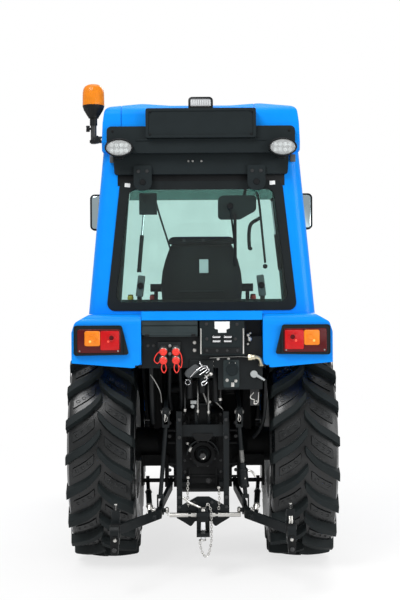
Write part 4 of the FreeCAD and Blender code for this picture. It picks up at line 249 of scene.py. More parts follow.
AMBER_LENS = lens("amber_dome", (0.88, 0.28, 0.015), clear=0.28, ribs=0.25)
TAIL_AMBER = lens("amber_lens", (0.80, 0.215, 0.012), ribs=0.5)
RED_LENS = lens("red_lens", (0.50, 0.004, 0.006), ribs=0.5)
DARK_RED = lens("dark_red_lens", (0.075, 0.002, 0.003), ribs=0.3)
# Bright spots on the tail lamp windows: painted highlights.
RED_PAINTED_HIGHLIGHT = lens("red_painted_highlight", (0.95, 0.09, 0.06))
AMBER_PAINTED_HIGHLIGHT = lens("amber_painted_highlight", (0.98, 0.55, 0.12))
CLEAR_LENS = lens("clear_lens", (0.74, 0.76, 0.76), clear=0.62, ribs=0.25)
LAMP_SHADE = finish("lamp_shade", (0.30, 0.31, 0.32), rough=0.3, grain=600, bump=0.1, mottle=0.1)
GREEN_BAND = glass("green_band", (0.34, 0.46, 0.44))
GLASS_EDGE = glass("dark_glass_edge", (0.115, 0.175, 0.175))
LAMP_WHITE = finish("lamp_white", (0.80, 0.81, 0.81), rough=0.25, grain=600, bump=0.05, mottle=0.04)
LAMP_TRAY = finish("lamp_tray", (0.52, 0.54, 0.55), rough=0.3, grain=600, bump=0.1, mottle=0.1)
LAMP_CUP = finish("lamp_cup", (0.86, 0.88, 0.88), rough=0.22, grain=500, bump=0.03, mottle=0.03, gloss=1.0)

BY_SLOT = {"blue_paint": BLUE, "black_paint": BLACK_PAINT, "wheel_paint": WHEEL, "cast_dark": CAST,
           "bright_steel": STEEL, "black_plastic": CHARCOAL, "rubber_seal": SEAL, "tyre_rubber": RUBBER,
           "tinted_glass": GLASS, "lamp_glass": CHROME, "red_lens": RED_CAP, "amber_lens": YELLOW,
           "seat_fabric": FABRIC}
for part in frame["record"]["subparts"]:
    node = NODES[part["node"]]
    node.data.materials.clear()
    node.data.materials.append(BY_SLOT[part["material_slot"]])


def lined_fender(name):
    """Fender blue outside, with the black liner that covers its inner wall up to the seat floor."""
    made, tree, output, add = node_material(name)
    place = add("TexCoord").outputs["Object"]
    spot = add("SeparateXYZ", Vector=place)
    inside = add("Math", Value=spot.outputs["X"])
    inside.operation = "ABSOLUTE"
    wall = ramp(tree, inside.outputs[0], 1.0, 0.0, 0.334, 0.336)
    under = ramp(tree, spot.outputs["Z"], 1.0, 0.0, 1.075, 1.077)
    share = add("Math", Value=wall)
    share.operation = "MULTIPLY"
    tree.links.new(under, share.inputs[1])
    cloud = add("TexNoise", Vector=place, Scale=9.0, Detail=5.0).outputs[0]
    paint = blend_color(tree, ramp(tree, cloud, 0.0, 1.0), (0.0, 0.226, 0.78), (0.0, 0.238, 0.82))
    liner = blend_color(tree, ramp(tree, cloud, 0.0, 1.0), (0.0055, 0.0065, 0.0075), (0.0085, 0.0100, 0.0110))
    rounded_edge = add("Bevel", Radius=0.0015)
    rounded_edge.samples = 3
    skin = add("BsdfPrincipled", Base_Color=blend_color(tree, share.outputs[0], paint, liner),
               Roughness=ramp(tree, share.outputs[0], 0.34, 0.55, 0.0, 1.0), Normal=rounded_edge.outputs[0])
    tree.links.new(ramp(tree, share.outputs[0], 0.18, 0.0, 0.0, 1.0), skin.inputs["Coat Weight"])
    skin.inputs["Specular IOR Level"].default_value = 0.12
    skin.inputs["Coat Roughness"].default_value = 0.06
    tree.links.new(skin.outputs[0], output.inputs["Surface"])
    return made


FENDER_PAINT = lined_fender("fender_paint")
NODES["tool_box"].data.materials[0] = TOOL_BOX
for side in ("left", "right"):
    NODES["fender_" + side].data.materials[0] = FENDER_PAINT


# ---- pieces -----------------------------------------------------------------------------------
class Piece:
    """A piece of the tractor, collected shape by shape, in millimetres unless unit says otherwise.

    Each shape takes the material last given to use()."""

    def __init__(self, name, slot=None, body="root", replaces=(), unit=MM):
        self.name = name
        self.unit = unit
        self.body = body
        self.slot = slot
        self.nodes = replaces
        self.mesh = bmesh.new()
        self.materials = []

    def use(self, material):
        if material not in self.materials:
            self.materials.append(material)
        self.index = self.materials.index(material)
        return self

    def points(self, row):
        return [self.mesh.verts.new([c * self.unit for c in p]) for p in row]

    def face(self, corners, smooth=False):
        made = self.mesh.faces.new(corners)
        made.material_index = self.index
        made.smooth = smooth
        return made

    def grid(self, rows, closed=True, ends=True, smooth=True):
        """A skin over rows of points, each row a closed ring unless closed is False."""
        rings = [self.points(row) for row in rows]
        count = len(rings[0])
        for a, b in zip(rings, rings[1:]):
            for k in range(count if closed else count - 1):
                self.face((a[k], a[(k + 1) % count], b[(k + 1) % count], b[k]), smooth)
        if ends:
            self.face(rings[0][::-1])
            self.face(rings[-1])
        return self

    def lathe(self, profile, start=(0, 0, 0), axis=Z, sides=32, smooth=True):
        """Revolves (radius, height) points about an axis from start."""
        turn = Vector(axis).to_track_quat("Z", "Y")
        rows = []
        for radius, height in profile:
            radius = max(radius, 0.01)
            ring = []
            for k in range(sides):
                angle = 2 * math.pi * k / sides
                spoke = Vector((radius * math.cos(angle), radius * math.sin(angle), height))
                ring.append(Vector(start) + turn @ spoke)
            rows.append(ring)
        return self.grid(rows, smooth=smooth)

    def pipe(self, points, radius, sides=10):
        """A round bar or hose through points, its turns smoothed."""
        path = smooth_path(points)
        rows = []
        normal = None
        for i, here in enumerate(path):
            ahead = (path[min(i + 1, len(path) - 1)] - path[max(i - 1, 0)]).normalized()
            if normal is None:
                normal = ahead.orthogonal().normalized()
            normal = (normal - ahead * normal.dot(ahead)).normalized()
            across = ahead.cross(normal)
            size = radius(i / (len(path) - 1)) if callable(radius) else radius
            angles = [2 * math.pi * k / sides for k in range(sides)]
            rows.append([here + normal * (size * math.cos(a)) + across * (size * math.sin(a))
                         for a in angles])
        return self.grid(rows)

    def soften(self, edges, soft, steps):
        if soft:
            edges = list(dict.fromkeys(edges))
            bmesh.ops.bevel(self.mesh, geom=edges, offset=soft * self.unit, segments=steps, profile=0.5,
                            affect="EDGES")

    def block(self, a, b, soft=2, turn=None, steps=2):
        """A box between two corners with rounded edges."""
        before = set(self.mesh.faces)
        a, b = Vector(a) * self.unit, Vector(b) * self.unit
        matrix = Matrix.Translation((a + b) / 2) @ (turn.to_4x4() if turn else Matrix.Identity(4))
        made = bmesh.ops.create_cube(self.mesh, matrix=matrix @ Matrix.Diagonal((*(b - a), 1)), size=1.0)
        self.soften([e for v in made["verts"] for e in v.link_edges], soft, steps)
        return self.paint(before)

    def paint(self, before):
        """Gives the material in use to every face that isn't in before."""
        for f in self.mesh.faces:
            if f not in before:
                f.material_index = self.index
        return self

    def plate(self, outline, a, b, axis="y", soft=1.5, steps=2):
        """A plate from a flat outline between two heights along an axis, its rims rounded."""
        place = {"x": lambda u, v, w: (w, u, v),
                 "y": lambda u, v, w: (u, w, v),
                 "z": lambda u, v, w: (u, v, w)}[axis]
        before = set(self.mesh.faces)
        rings = [self.points([place(u, v, w) for u, v in outline]) for w in (a, b)]
        count = len(outline)
        faces = [self.face(rings[0]), self.face(rings[1][::-1])]
        for k in range(count):
            self.face((rings[0][(k + 1) % count], rings[0][k], rings[1][k], rings[1][(k + 1) % count]))
        self.soften([e for f in faces for e in f.edges], soft, steps)
        return self.paint(before)

    def bolt(self, at, axis, size=9, head=6):
        """A hexagon bolt head on a washer."""
        self.lathe(disc(size * 1.25, 1.5), at, axis, 20, False)
        top = solid((size, 1.2), (size, head * 0.8), (size * 0.84, head))
        return self.lathe(top, at, axis, 6, False)

    def ring(self, centre, along, across, long, wide, wire, steps=14, sides=6):
        """A closed ring of wire, its half axes given."""
        along, across = Vector(along).normalized(), Vector(across).normalized()
        normal = along.cross(across).normalized()
        rows = []
        for k in range(steps + 1):
            angle = 2 * math.pi * k / steps
            spot = Vector(centre) + along * (long * math.cos(angle)) + across * (wide * math.sin(angle))
            out = (along * (math.cos(angle) / long) + across * (math.sin(angle) / wide)).normalized()
            turns = [2 * math.pi * j / sides for j in range(sides)]
            rows.append([spot + out * (wire * math.cos(t)) + normal * (wire * math.sin(t)) for t in turns])
        return self.grid(rows, ends=False)

    def chain(self, points, half, wire):
        """Links of wire along a line, each turned a quarter from the last."""
        path = smooth_path(points, 12)
        left = 0.0
        turn = 0
        for a, b in zip(path, path[1:]):
            left += (b - a).length
            if left >= 1.45 * half:
                left -= 1.45 * half
                along = (b - a).normalized()
                side = Y.cross(along) if abs(along.dot(Y)) < 0.9 else X.cross(along)
                side = side.normalized() if turn else along.cross(side).normalized()
                self.ring((a + b) / 2, along, side, half, half * 0.62, wire, 12, 6)
                turn = 1 - turn
        return self

    def done(self, angle=38):
        data = bpy.data.meshes.new(self.name)
        bmesh.ops.recalc_face_normals(self.mesh, faces=self.mesh.faces)
        self.mesh.to_mesh(data)
        self.mesh.free()
        for material in self.materials:
            data.materials.append(material)
        data.shade_smooth()
        data.set_sharp_from_angle(angle=math.radians(angle))
        made = bpy.data.objects.new(self.name, data)
        scene.collection.objects.link(made)
        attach(made, self.body)
        if self.nodes:
            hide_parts(*self.nodes)
        return made


def smooth_path(points, steps=6):
    """Points along a Catmull-Rom line through the given ones."""
    points = [Vector(p) for p in points]
    if len(points) == 2:
        return points
    line = []
    ends = [2 * points[0] - points[1]] + points + [2 * points[-1] - points[-2]]
    for a, b, c, d in zip(ends, ends[1:], ends[2:], ends[3:]):
        for k in range(steps):
            t = k / steps
            line.append(0.5 * (2 * b + (c - a) * t + (2 * a - 5 * b + 4 * c - d) * t * t
                               + (3 * b - a - 3 * c + d) * t ** 3))
    line.append(points[-1])
    return line


def rounded(points, steps=4):
    """A flat outline whose (u, v, radius) corners are rounded."""
    count = len(points)
    line = []
    for i, point in enumerate(points):
        here = Vector(point[:2])
        radius = point[2] if len(point) > 2 else 0
        if not radius:
            line.append(tuple(here))
            continue
        back = (Vector(points[i - 1][:2]) - here).normalized()
        ahead = (Vector(points[(i + 1) % count][:2]) - here).normalized()
        half = back.angle(ahead) / 2
        reach = radius / math.tan(half)
        centre = here + (back + ahead).normalized() * (radius / math.sin(half))
        first, last = here + back * reach - centre, here + ahead * reach - centre
        sweep = first.angle_signed(last)
        for k in range(steps + 1):
            turn = Matrix.Rotation(-sweep * k / steps, 2)
            line.append(tuple(centre + turn @ first))
    return line


def solid(*rings):
    """Profile of a turned solid from its (radius, height) rings, closed flat at both ends."""
    return [(0, rings[0][1]), *rings, (0, rings[-1][1])]


def disc(radius, height):
    return solid((radius, 0), (radius, height))


def near(base, *offsets):
    return [base + Vector(offset) for offset in offsets]


# ---- tyres ------------------------------------------------------------------------------------
TYRE_SECTION = [(0.80, -0.01), (0.86, 0.03), (0.865, 0.09), (0.90, 0.10), (0.93, 0.16), (0.985, 0.34),
                (0.995, 0.36), (1.0, 0.50), (0.992, 0.62), (0.972, 0.63), (0.957, 0.74), (0.935, 0.84),
                (0.885, 0.915), (0.78, 0.945), (0.60, 0.965), (0.30, 0.985), (0.0, 0.99)]


def carcass(share):
    """Height of the carcass between the rim (0) and the tread (1), at a share of its half width."""
    share = abs(share)
    for (x0, h0), (x1, h1) in zip(TYRE_SECTION[::-1], TYRE_SECTION[-2::-1]):
        if share <= x1:
            return h0 + (h1 - h0) * (share - x0) / (x1 - x0)
    return 0.5


def tyre(node, body, lugs, lug_height, lean, rim_radius):
    """A field tyre: stepped sidewalls, blunt curved lugs in chevrons pointing up behind, and pads between."""
    a, b = box(node)
    centre = (a + b) / 2
    radius = (b.z - a.z) / 2
    half = (b.x - a.x) / 2
    scale = radius / 605
    tread = radius - lug_height
    wall = tread - rim_radius
    piece = Piece(node + "_tread", "tyre_rubber", body, (node,)).use(RUBBER)
    profile = [(x * half, rim_radius + h * wall) for x, h in TYRE_SECTION]
    profile += [(-x, r) for x, r in profile[-2::-1]]
    rows = []
    for k in range(133):
        angle = 2 * math.pi * k / 132
        spoke = Vector((0, -math.cos(angle), math.sin(angle)))
        rows.append([centre + X * x + spoke * r for x, r in profile])
    piece.grid(rows, closed=False, ends=False)

    def on_tyre(x, angle, r):
        return centre + X * x + Vector((0, -math.cos(angle), math.sin(angle))) * r

    def across(x, angle, wide, foot, top, spreads):
        """A ring round a bar's section: feet, shoulders and flat top."""
        heights = (foot, top - 5 * scale, top, top, top - 5 * scale, foot)
        return [on_tyre(x, angle + s * wide / h, h) for s, h in zip(spreads, heights)]

    def turned(start, s):
        return start - lean * half / 175 / scale * (s + 0.22 * math.sin(math.pi * s) * (1 - s))

    for hand in (LEFT, RIGHT):
        for k in range(lugs):
            start = 2 * math.pi * (k + 0.25 * hand) / lugs
            piece.use(LUG_FACE)
            rows = []
            for s, nose in ((0.0, 0.50), (0.012, 0.80), (0.035, 0.95), (0.07, 1.0), (0.16, 1.0), (0.30, 1.0),
                            (0.45, 1.0), (0.60, 1.0), (0.75, 1.0), (0.88, 1.0), (0.97, 1.0), (1.0, 0.97)):
                top = radius - 16 * scale * s ** 2.4 - (4 * scale if s in (0.0, 1.0) else 0)
                foot = tread - wall * (0.02 + 0.10 * s ** 3)
                x = (-0.045 + 1.005 * s) * half * hand
                rows.append(across(x, turned(start, s), 19.5 * scale * nose * (1 + 0.10 * s), foot, top,
                                   (-1.30, -1.06, -0.93, 0.93, 1.06, 1.30)))
            for share, drop in ((0.975, 0.20), (0.990, 0.36)):
                height = tread - wall * drop
                wide = 18.5 * scale
                x = share * half * hand
                rows.append([on_tyre(x - 0.03 * half * hand * (1 - abs(s)),
                                     turned(start, 1.0 + 0.1 * drop) + s * wide / height, height)
                             for s in (-1.30, -1.05, -0.9, 0.9, 1.05, 1.30)])
            piece.grid(rows, smooth=False)
            piece.use(RUBBER)
            middle_turn = start + math.pi / lugs
            rows = []
            for s, nose in ((0.19, 0.72), (0.20, 0.92), (0.23, 1.0), (0.40, 1.0), (0.58, 1.0), (0.76, 1.0),
                            (0.81, 0.92), (0.82, 0.72)):
                x = (-0.045 + 1.005 * s) * half * hand
                skin = rim_radius + wall * carcass(x / half)
                rim = 3 * scale if nose < 0.8 else 0.0
                rows.append(across(x, turned(middle_turn, s), 22.5 * scale * nose, skin - 3,
                                   skin + 7.5 * scale - rim, (-1.16, -1.05, -0.95, 0.95, 1.05, 1.16)))
            piece.grid(rows, smooth=False)
            for s in (0.34, 0.51, 0.68):
                x = (-0.045 + 1.005 * s) * half * hand
                height = rim_radius + wall * carcass(x / half) + 7.8 * scale
                spot = on_tyre(x, turned(middle_turn, s), height)
                out = (spot - centre - X * x).normalized()
                piece.ring(spot, X, X.cross(out), 10.5 * scale, 7 * scale, 1.3 * scale, 10, 4)
    return piece.done(30)


for side in ("left", "right"):
    tyre("rear_tyre_" + side, "rear_wheel_" + side, lugs=20, lug_height=36, lean=0.25, rim_radius=305)
    tyre("front_tyre_" + side, "front_wheel_" + side, lugs=17, lug_height=24, lean=0.23, rim_radius=203)


# ---- beacon -----------------------------------------------------------------------------------
def beacon():
    """Amber dome over a bright reflector, in a ribbed bowl on a pole with a clamp and a wing screw."""
    a, b = box("beacon")
    x = (a.x + b.x) / 2
    y = (a.y + b.y) / 2
    foot = Vector((x, y, a.z))
    rim = b.z - 110
    bowl = rim - 62
    base = Piece("beacon_base", "black_plastic", replaces=("beacon",)).use(PLASTIC)
    base.lathe(solid((26, bowl), (26.5, bowl + 4), (28.5, bowl + 10), (33, bowl + 18), (36, bowl + 22),
                     (39, bowl + 26), (44, bowl + 36), (48, bowl + 42), (51, bowl + 46), (54.5, bowl + 58),
                     (55.5, bowl + 61), (55.5, rim), (53, rim + 2), (50, rim)), (x, y, 0), Z, 64)
    for k in range(12):
        angle = math.pi * k / 6
        out = Vector((math.cos(angle), math.sin(angle), 0))
        base.pipe([Vector((x, y, bowl + 8)) + out * 28, Vector((x, y, bowl + 44)) + out * 49.5], 1.6, 6)
    base.use(DARK_FITTING).lathe(solid((14.2, 0), (15, 1), (15, bowl - a.z + 2)), foot, Z, 32)
    base.use(PLASTIC).lathe([(15.5, 0), (19, 1), (19, 55), (15.5, 56)], foot + Z * 92, Z, 32)
    base.lathe([(15.2, 0), (20.5, 1), (20.5, 14), (15.2, 15)], foot + Z * 4, Z, 32)
    screw = foot + Vector((-19, -4, 76))
    base.lathe(disc(6, 14), screw + X * 6, -X, 16)
    wing = rounded([(-11, -16, 4), (11, -16, 4), (7, 0), (11, 16, 4), (-11, 16, 4), (-7, 0)], 3)
    base.plate([(screw.x - 9 + u, screw.z + v) for u, v in wing], screw.y - 2.5, screw.y + 2.5)
    base.use(BLACK_PAINT)
    wall = b.x - 2
    base.block((x + 12, y - 14, a.z + 4), (wall + 30, y + 14, a.z + 36), 3)
    base.block((x - 4, y - 18, a.z + 2), (x + 26, y + 18, a.z + 40), 5)
    base.use(STEEL).bolt((x + 45, y - 14, a.z + 20), -Y, 6, 5)
    base.done()
    dome = Piece("beacon_dome", "amber_lens").use(AMBER_LENS)
    outer = [(54.5, rim), (55.2, rim + 4), (54.8, rim + 12), (54.5, rim + 52), (53.5, rim + 70),
             (50, rim + 86), (42, rim + 98), (29, rim + 105.5), (14, rim + 109), (0, b.z)]
    inner = [(r * 0.94, rim + (z - rim) * 0.955) for r, z in outer[:-1]] + [(0, b.z - 3.5)]
    dome.lathe(outer + inner[::-1], (x, y, 0), Z, 64)
    dome.done()
    inside = Piece("beacon_reflector", "bright_steel").use(CHROME)
    cup = []
    for k in range(9):
        t = k / 8
        cup.append((10 + 28 * t, 30 * t * t))
    cup += [(38.5, 31)] + [(r + 1.5, h - 2) for r, h in cup[::-1]]
    inside.lathe(cup, (x, y + 14, rim + 40), Vector((0, -1, 0.12)), 32)
    inside.use(STEEL).lathe(solid((30, 0), (30, 6), (12, 8), (12, 30)), (x, y, rim), Z, 32)
    inside.use(LAMP_WHITE).lathe([(0, 0), (6, 0), (7.5, 12), (6, 24), (0, 27)], (x, y - 4, rim + 28), Z, 20)
    inside.done()


beacon()


# ---- lamps on the roof ------------------------------------------------------------------------
def ellipse(wide, high, count=48):
    angles = [2 * math.pi * k / count for k in range(count)]
    return [(wide * math.cos(a), high * math.sin(a)) for a in angles]


def oval_rows(x, z, steps):
    """Rings of an oval lamp: each step is (half width, half height, y)."""
    return [[Vector((x + u, y, z + v)) for u, v in ellipse(wide, high)] for wide, high, y in steps]


def work_lamp(piece, lens, x, z, face, back, out):
    """One oval lamp: face is the y of its rim, back that of its housing's end, out the way into the lamp."""
    wide, high = 71, 46
    piece.use(PLASTIC).grid(oval_rows(x, z,
                                      [(wide - 12, high - 10, back), (wide - 4, high - 3, back - out * 4),
                                       (wide - 1, high - 1, face + out * 12), (wide, high, face + out * 8),
                                       (wide, high, face + out * 2), (wide - 2, high - 2, face),
                                       (wide - 6, high - 6, face), (wide - 7.5, high - 7.5, face + out * 4),
                                       (wide - 8.5, high - 8.5, face + out * 22)]), ends=False)
    piece.face(piece.points([(x + u, back, z + v) for u, v in ellipse(wide - 12, high - 10)]))
    piece.use(LAMP_TRAY).face(
        piece.points([(x + u, face + out * 20, z + v) for u, v in ellipse(wide - 8, high - 8)])[::-1])
    for row in (14, -14):
        for dx in (-36, -12, 12, 36):
            cup = [(10.5, 0), (10, 1.5), (6.5, 11), (4.5, 13), (0, 13)]
            piece.use(LAMP_CUP).lathe(cup, (x + dx, face + out * 6, z + row), Y * out, 20)
            piece.use(LAMP_WHITE).lathe([(0, 0), (3.8, 0), (3.8, 2), (0, 3)],
                                        (x + dx, face + out * 18.5, z + row), -Y * out, 12)
    lens.grid(oval_rows(x, z, [(wide - 7.5, high - 7.5, face + out * 5),
                               (wide - 11, high - 11, face + out * 2.5), (wide * 0.6, high * 0.6, face + out),
                               (wide * 0.2, high * 0.2, face + out * 0.6)]), ends=False)
    lens.face(lens.points([(x + u, face + out * 0.6, z + v) for u, v in ellipse(wide * 0.2, high * 0.2)]))


def roof_lamps():
    """Two lamps facing the rear and two facing the front, with the number-plate lamp between them."""
    a, b = box("work_lamps")
    x = b.x - 71
    low_z = a.z + 46
    high_z = low_z + 111
    piece = Piece("roof_lamps", "lamp_glass", replaces=("work_lamps",))
    lens = Piece("roof_lamp_lenses", "lamp_glass").use(CLEAR_LENS)
    panel = low("rear_roof_panel").y + 28
    for side in (LEFT, RIGHT):
        work_lamp(piece, lens, side * x, low_z, face=a.y, back=a.y + 46, out=1)
        work_lamp(piece, lens, side * (x - 80), high_z, face=b.y, back=b.y - 50, out=-1)
        inner = side * (x - 64)
        piece.use(BLACK_PAINT).block((inner - 6, a.y + 10, low_z - 12), (inner + 6, panel, low_z + 12), 2)
        piece.use(PLASTIC).block((side * x - 18, a.y + 44, low_z - 52), (side * x + 18, a.y + 62, low_z - 36),
                                 3)
    top = b.z
    foot = top - 56
    y0 = low("rear_roof_panel").y + 4
    y1 = y0 + 34
    piece.use(PLASTIC).plate(rounded([(-62, foot, 2), (-62, top, 17), (62, top, 17), (62, foot, 2)], 5),
                y0, y1, "y", 3)
    piece.use(LAMP_SHADE).plate(rounded([(-52, foot + 9, 4), (-52, top - 11, 10), (52, top - 11, 10),
                         (52, foot + 9, 4)], 4), y0 - 3.5, y0 + 1, "y", 1.2)
    piece.use(LAMP_TRAY)
    for k in range(9):
        dx = -44 + 11 * k
        piece.block((dx - 3.8, y0 - 5.2, foot + 14), (dx + 3.8, y0 - 3, top - 17), 1)
    piece.use(STEEL).bolt((0, y0 - 0.5, (foot + top) / 2), -Y, 3.5, 3)
    piece.done()
    lens.done()


roof_lamps()


def roof_panel_trim():
    """Screws, brackets, a thin rigid line, a black strip of painted shadow and two labels on the black panel
    above the rear window.
    """
    a, b = box("rear_roof_panel")
    trim = Piece("roof_panel_trim", "black_plastic").use(PLASTIC)
    holder = a.y
    face = a.y + 28
    mid_z = b.z - 74
    for sx in (-255, 255):
        for sz in (-58, 58):
            trim.bolt((sx, holder - 0.5, mid_z + sz), -Y, 4.5, 3.5)
    for sx in (-445, 445):
        trim.bolt((sx, face - 0.5, b.z - 110), -Y, 5, 4)
    tray = low("window_seal").y - 26.7
    trim.use(DULL_STEEL)
    for sx in (-64, -42, 2):
        trim.bolt((sx, tray, a.z + 66), -Y, 4.5, 4)
    trim.use(GREY)
    for x in (-447, 472):
        trim.block((x - 18, face + 60, a.z + 62), (x + 10, face + 74, a.z + 100), 3)
    trim.use(PLASTIC)
    start = Vector((400, face + 30, a.z + 92))
    trim.pipe(near(start, (0, 0, 0), (-20, 18, -12), (-75, 26, -4), (-160, 28, 0), (-240, 28, 12)), 2.8, 8)
    seal = low("window_seal").y
    # Black strip along the window's top under the panel: painted shadow, not a part.
    trim.plate([(-426, 1984), (-426, 2050), (426, 2050), (426, 1984)], seal + 1.5, seal + 5.5, "y", 1)
    trim.use(WHITE)
    for x, z, lean in ((-376, 1988, 0.10), (364, 1997, -0.06)):
        trim.block((x - 14, seal - 0.8, z - 10), (x + 14, seal + 0.4, z + 10), 0.3,
                   Matrix.Rotation(lean, 3, "Y"))
    trim.done()


roof_panel_trim()


# ---- tail lamps -------------------------------------------------------------------------------
def tail_lamp(side, name):
    """A dark lens body with an amber and a red window, each over its bulb with a bright spot of painted
    highlight beside it, inside the black frame.
    """
    a, b = box("tail_lamp_lenses")
    bezel = low("tail_lamp_bezels").y
    inner = 404
    outer = b.x
    front = a.y
    made = Piece("tail_lamp_" + name, "red_lens", replaces=("tail_lamp_lenses",) if side > 0 else ())

    def window(material, x0, x1, z0, z1, y0, y1, radius, soft):
        line = rounded([(side * x0, z0, radius), (side * x0, z1, radius), (side * x1, z1, radius),
                        (side * x1, z0, radius)], 4)
        made.use(material).plate(line if side > 0 else line[::-1], y0, y1, "y", soft, 3)

    window(DARK_RED, inner, outer, a.z, b.z, front, b.y, 11, 3.5)
    window(RED_LENS, inner + 6, inner + 99.5, a.z + 14, b.z - 8, front - 4.5, front + 2, 8, 3.5)
    window(TAIL_AMBER, inner + 100.5, inner + 178, a.z + 34, b.z - 8, front - 5, front + 2, 10, 4.2)
    for u, lit, glow in ((inner + 44, RED_LENS, RED_PAINTED_HIGHLIGHT), (inner + 134, TAIL_AMBER, AMBER_PAINTED_HIGHLIGHT)):
        v = b.z - 43
        made.use(DARK_RED if lit is RED_LENS else lit)
        made.lathe(solid((11.5, -0.2), (12, 0.6)), (side * u, front - 4.5, v), -Y, 28)
        made.use(lit).ring((side * u, front - 5, v), X, Z, 14, 14, 2.2, 28, 8)
        made.ring((side * u, front - 5, v), X, Z, 20.5, 20.5, 1.2, 32, 8)
        # A small bright disc beside each bulb: painted highlight.
        made.use(glow).lathe([(0, 0), (6.6, 0), (6, 2), (3.5, 3.4), (0, 3.8)],
                             (side * (u + 16), front - 4.5, v - 18), -Y, 20)
    made.use(DULL_STEEL)
    for u in (inner + 12, outer - 12):
        made.lathe([(0, 0), (4.2, 0), (3.6, 1.5), (0, 1.8)], (side * u, front - 0.3, a.z + 10), -Y, 14)
    made.done()
    screws = Piece("tail_lamp_screws_" + name, "black_plastic").use(CAST)
    for u, v in ((outer + 12, a.z - 4), (outer + 12, b.z + 10), (inner - 26, a.z - 2)):
        screws.lathe([(0, 0), (4, 0), (3.4, 1.6), (0, 2)], (side * u, bezel + 9.8, v), -Y, 14)
    screws.done()


for side, name in reversed(SIDES):
    tail_lamp(side, name)


# ---- rear window ------------------------------------------------------------------------------
def rear_window_trim():
    """Bolts of the hinge covers, latch arms, grab handle, washer hose and the dark bands of the glass."""
    seal_low, seal_high = box("window_seal")
    fit_low, fit_high = box("window_fittings")
    glass_out = seal_low.y + 12
    glass_in = glass_out + 6
    top = fit_high.z
    trim = Piece("rear_window_trim", "black_plastic")
    for x in (-296, 281):
        trim.use(DARK_FITTING)
        for dx in (-22, 22):
            trim.bolt((x + dx, fit_low.y - 0.3, top - 30), -Y, 7.5, 5)
        trim.use(PLASTIC).lathe([(0, 0), (16, 0), (14, 4), (0, 5)], (x, fit_low.y, top - 85), -Y, 24)
    trim.use(GREY)
    for x, lean in ((-314, 0.12), (306, -0.12)):
        turn = Matrix.Rotation(lean, 3, "Y")
        trim.block((x - 19, glass_in + 0.4, 1418), (x + 19, glass_in + 28, 1528), 7, turn)
    trim.use(PLASTIC)
    for x in (-314, 306):
        trim.lathe([(0, 0), (17, 0), (15, 10), (0, 12)], (x, glass_out + 0.5, 1475), -Y, 24)
        trim.block((x * 1.02 - 12, glass_in + 12, 1380), (x * 1.02 + 12, glass_in + 34, 1430), 4)
    trim.pipe([(300, glass_in + 2, 1818), (290, glass_in + 46, 1814), (256, glass_in + 55, 1790),
               (246, glass_in + 52, 1740), (248, glass_in + 50, 1672), (252, glass_in + 2, 1662)], 9.5, 14)
    trim.use(SEAL).pipe([(30, glass_in + 50, 2060), (45, glass_in + 55, 2045), (105, glass_in + 60, 2020),
               (200, glass_in + 58, 2010), (228, glass_in + 50, 1975), (214, glass_in + 48, 1925),
               (178, glass_in + 45, 1876)], 8, 10)
    trim.use(PLASTIC).pipe([(284, glass_in + 4, 1948), (292, glass_in + 36, 1936), (301, glass_in + 40, 1880),
               (316, glass_in + 40, 1720), (328, glass_in + 36, 1590)], 6, 12)
    trim.lathe([(0, -10), (9.5, -8), (12.5, 0), (9.5, 8), (0, 10)], (328, glass_in + 36, 1572), Y, 20)
    trim.pipe([(-322, glass_in + 36, 1560), (-322, glass_in + 36, 1545)], 11.5, 16)
    screen = [(-300, 2070), (-262, 1930), (-200, 1730), (-130, 1480)]
    trim.pipe([(x, 192 - 0.1084 * (z - 1330), z) for x, z in screen], 6.2, 12)
    trim.done()
    inner = seal_high.z - 45.5
    band = Piece("window_band", "tinted_glass").use(GREEN_BAND)
    band.plate([(-368, inner - 52), (-364, inner), (364, inner), (368, inner - 52)],
               glass_in + 0.4, glass_in + 1.2, "y", 0)
    band.use(GLASS_EDGE)
    for outline in ([(-446, 1384), (-392, inner), (-366, inner), (-412, 1384)],
                    [(446, 1384), (392, inner), (362, inner), (410, 1384)],
                    [(-411, 1384), (-410, 1404), (408, 1404), (409, 1384)]):
        band.plate(outline, glass_in + 1.6, glass_in + 2.4, "y", 0)
    band.done()


rear_window_trim()


def window_gear():
    """The rear window's wiper, the ribbed cover of its motor and the two gas struts."""
    fit_y = low("window_fittings").y
    glass_in = low("window_seal").y + 18
    gear = Piece("wiper_and_motor", "black_plastic").use(PLASTIC)
    motor = rounded([(89, 1818, 18), (89, 1932, 26), (279, 1932, 18), (279, 1864, 18), (203, 1818, 24)], 6)
    gear.plate(motor, glass_in + 62, glass_in + 66.5, "y", 2, 2)
    for k in range(5):
        x = 115 + 32 * k
        gear.block((x, glass_in + 66, 1880), (x + 10, glass_in + 70, 1926), 1.5)
    blade = fit_y + 22.5
    gear.use(BLACK_PAINT).block((165.5, blade - 2.5, 1578), (178.5, blade + 1.5, 1834), 1.2)
    gear.use(SEAL).block((170, blade - 5, 1572), (174, blade + 2, 1840), 0.8)
    gear.use(PLASTIC).lathe([(0, 0), (16.5, 0), (16.5, 6), (12, 11), (0, 12)],
                            (147, fit_y + 23, 1877), -Y, 28)
    for top, foot in (((364, 1913), (404, 1554)), ((-290, 1913), (-322, 1554))):
        y = glass_in + 30
        head = Vector((top[0], y, top[1]))
        low_end = Vector((foot[0], y, foot[1]))
        half = head.lerp(low_end, 0.5)
        gear.use(CHROME).pipe([head, half], 6.6, 14)
        gear.use(PLASTIC).pipe([half.lerp(head, 0.01), half.lerp(low_end, 0.96)], 10.6, 16)
        for end in (head, low_end):
            gear.use(STEEL).lathe([(0, -12), (7.5, -10), (9, 0), (7.5, 10), (0, 12)], end, Y, 20)
    gear.done()


window_gear()


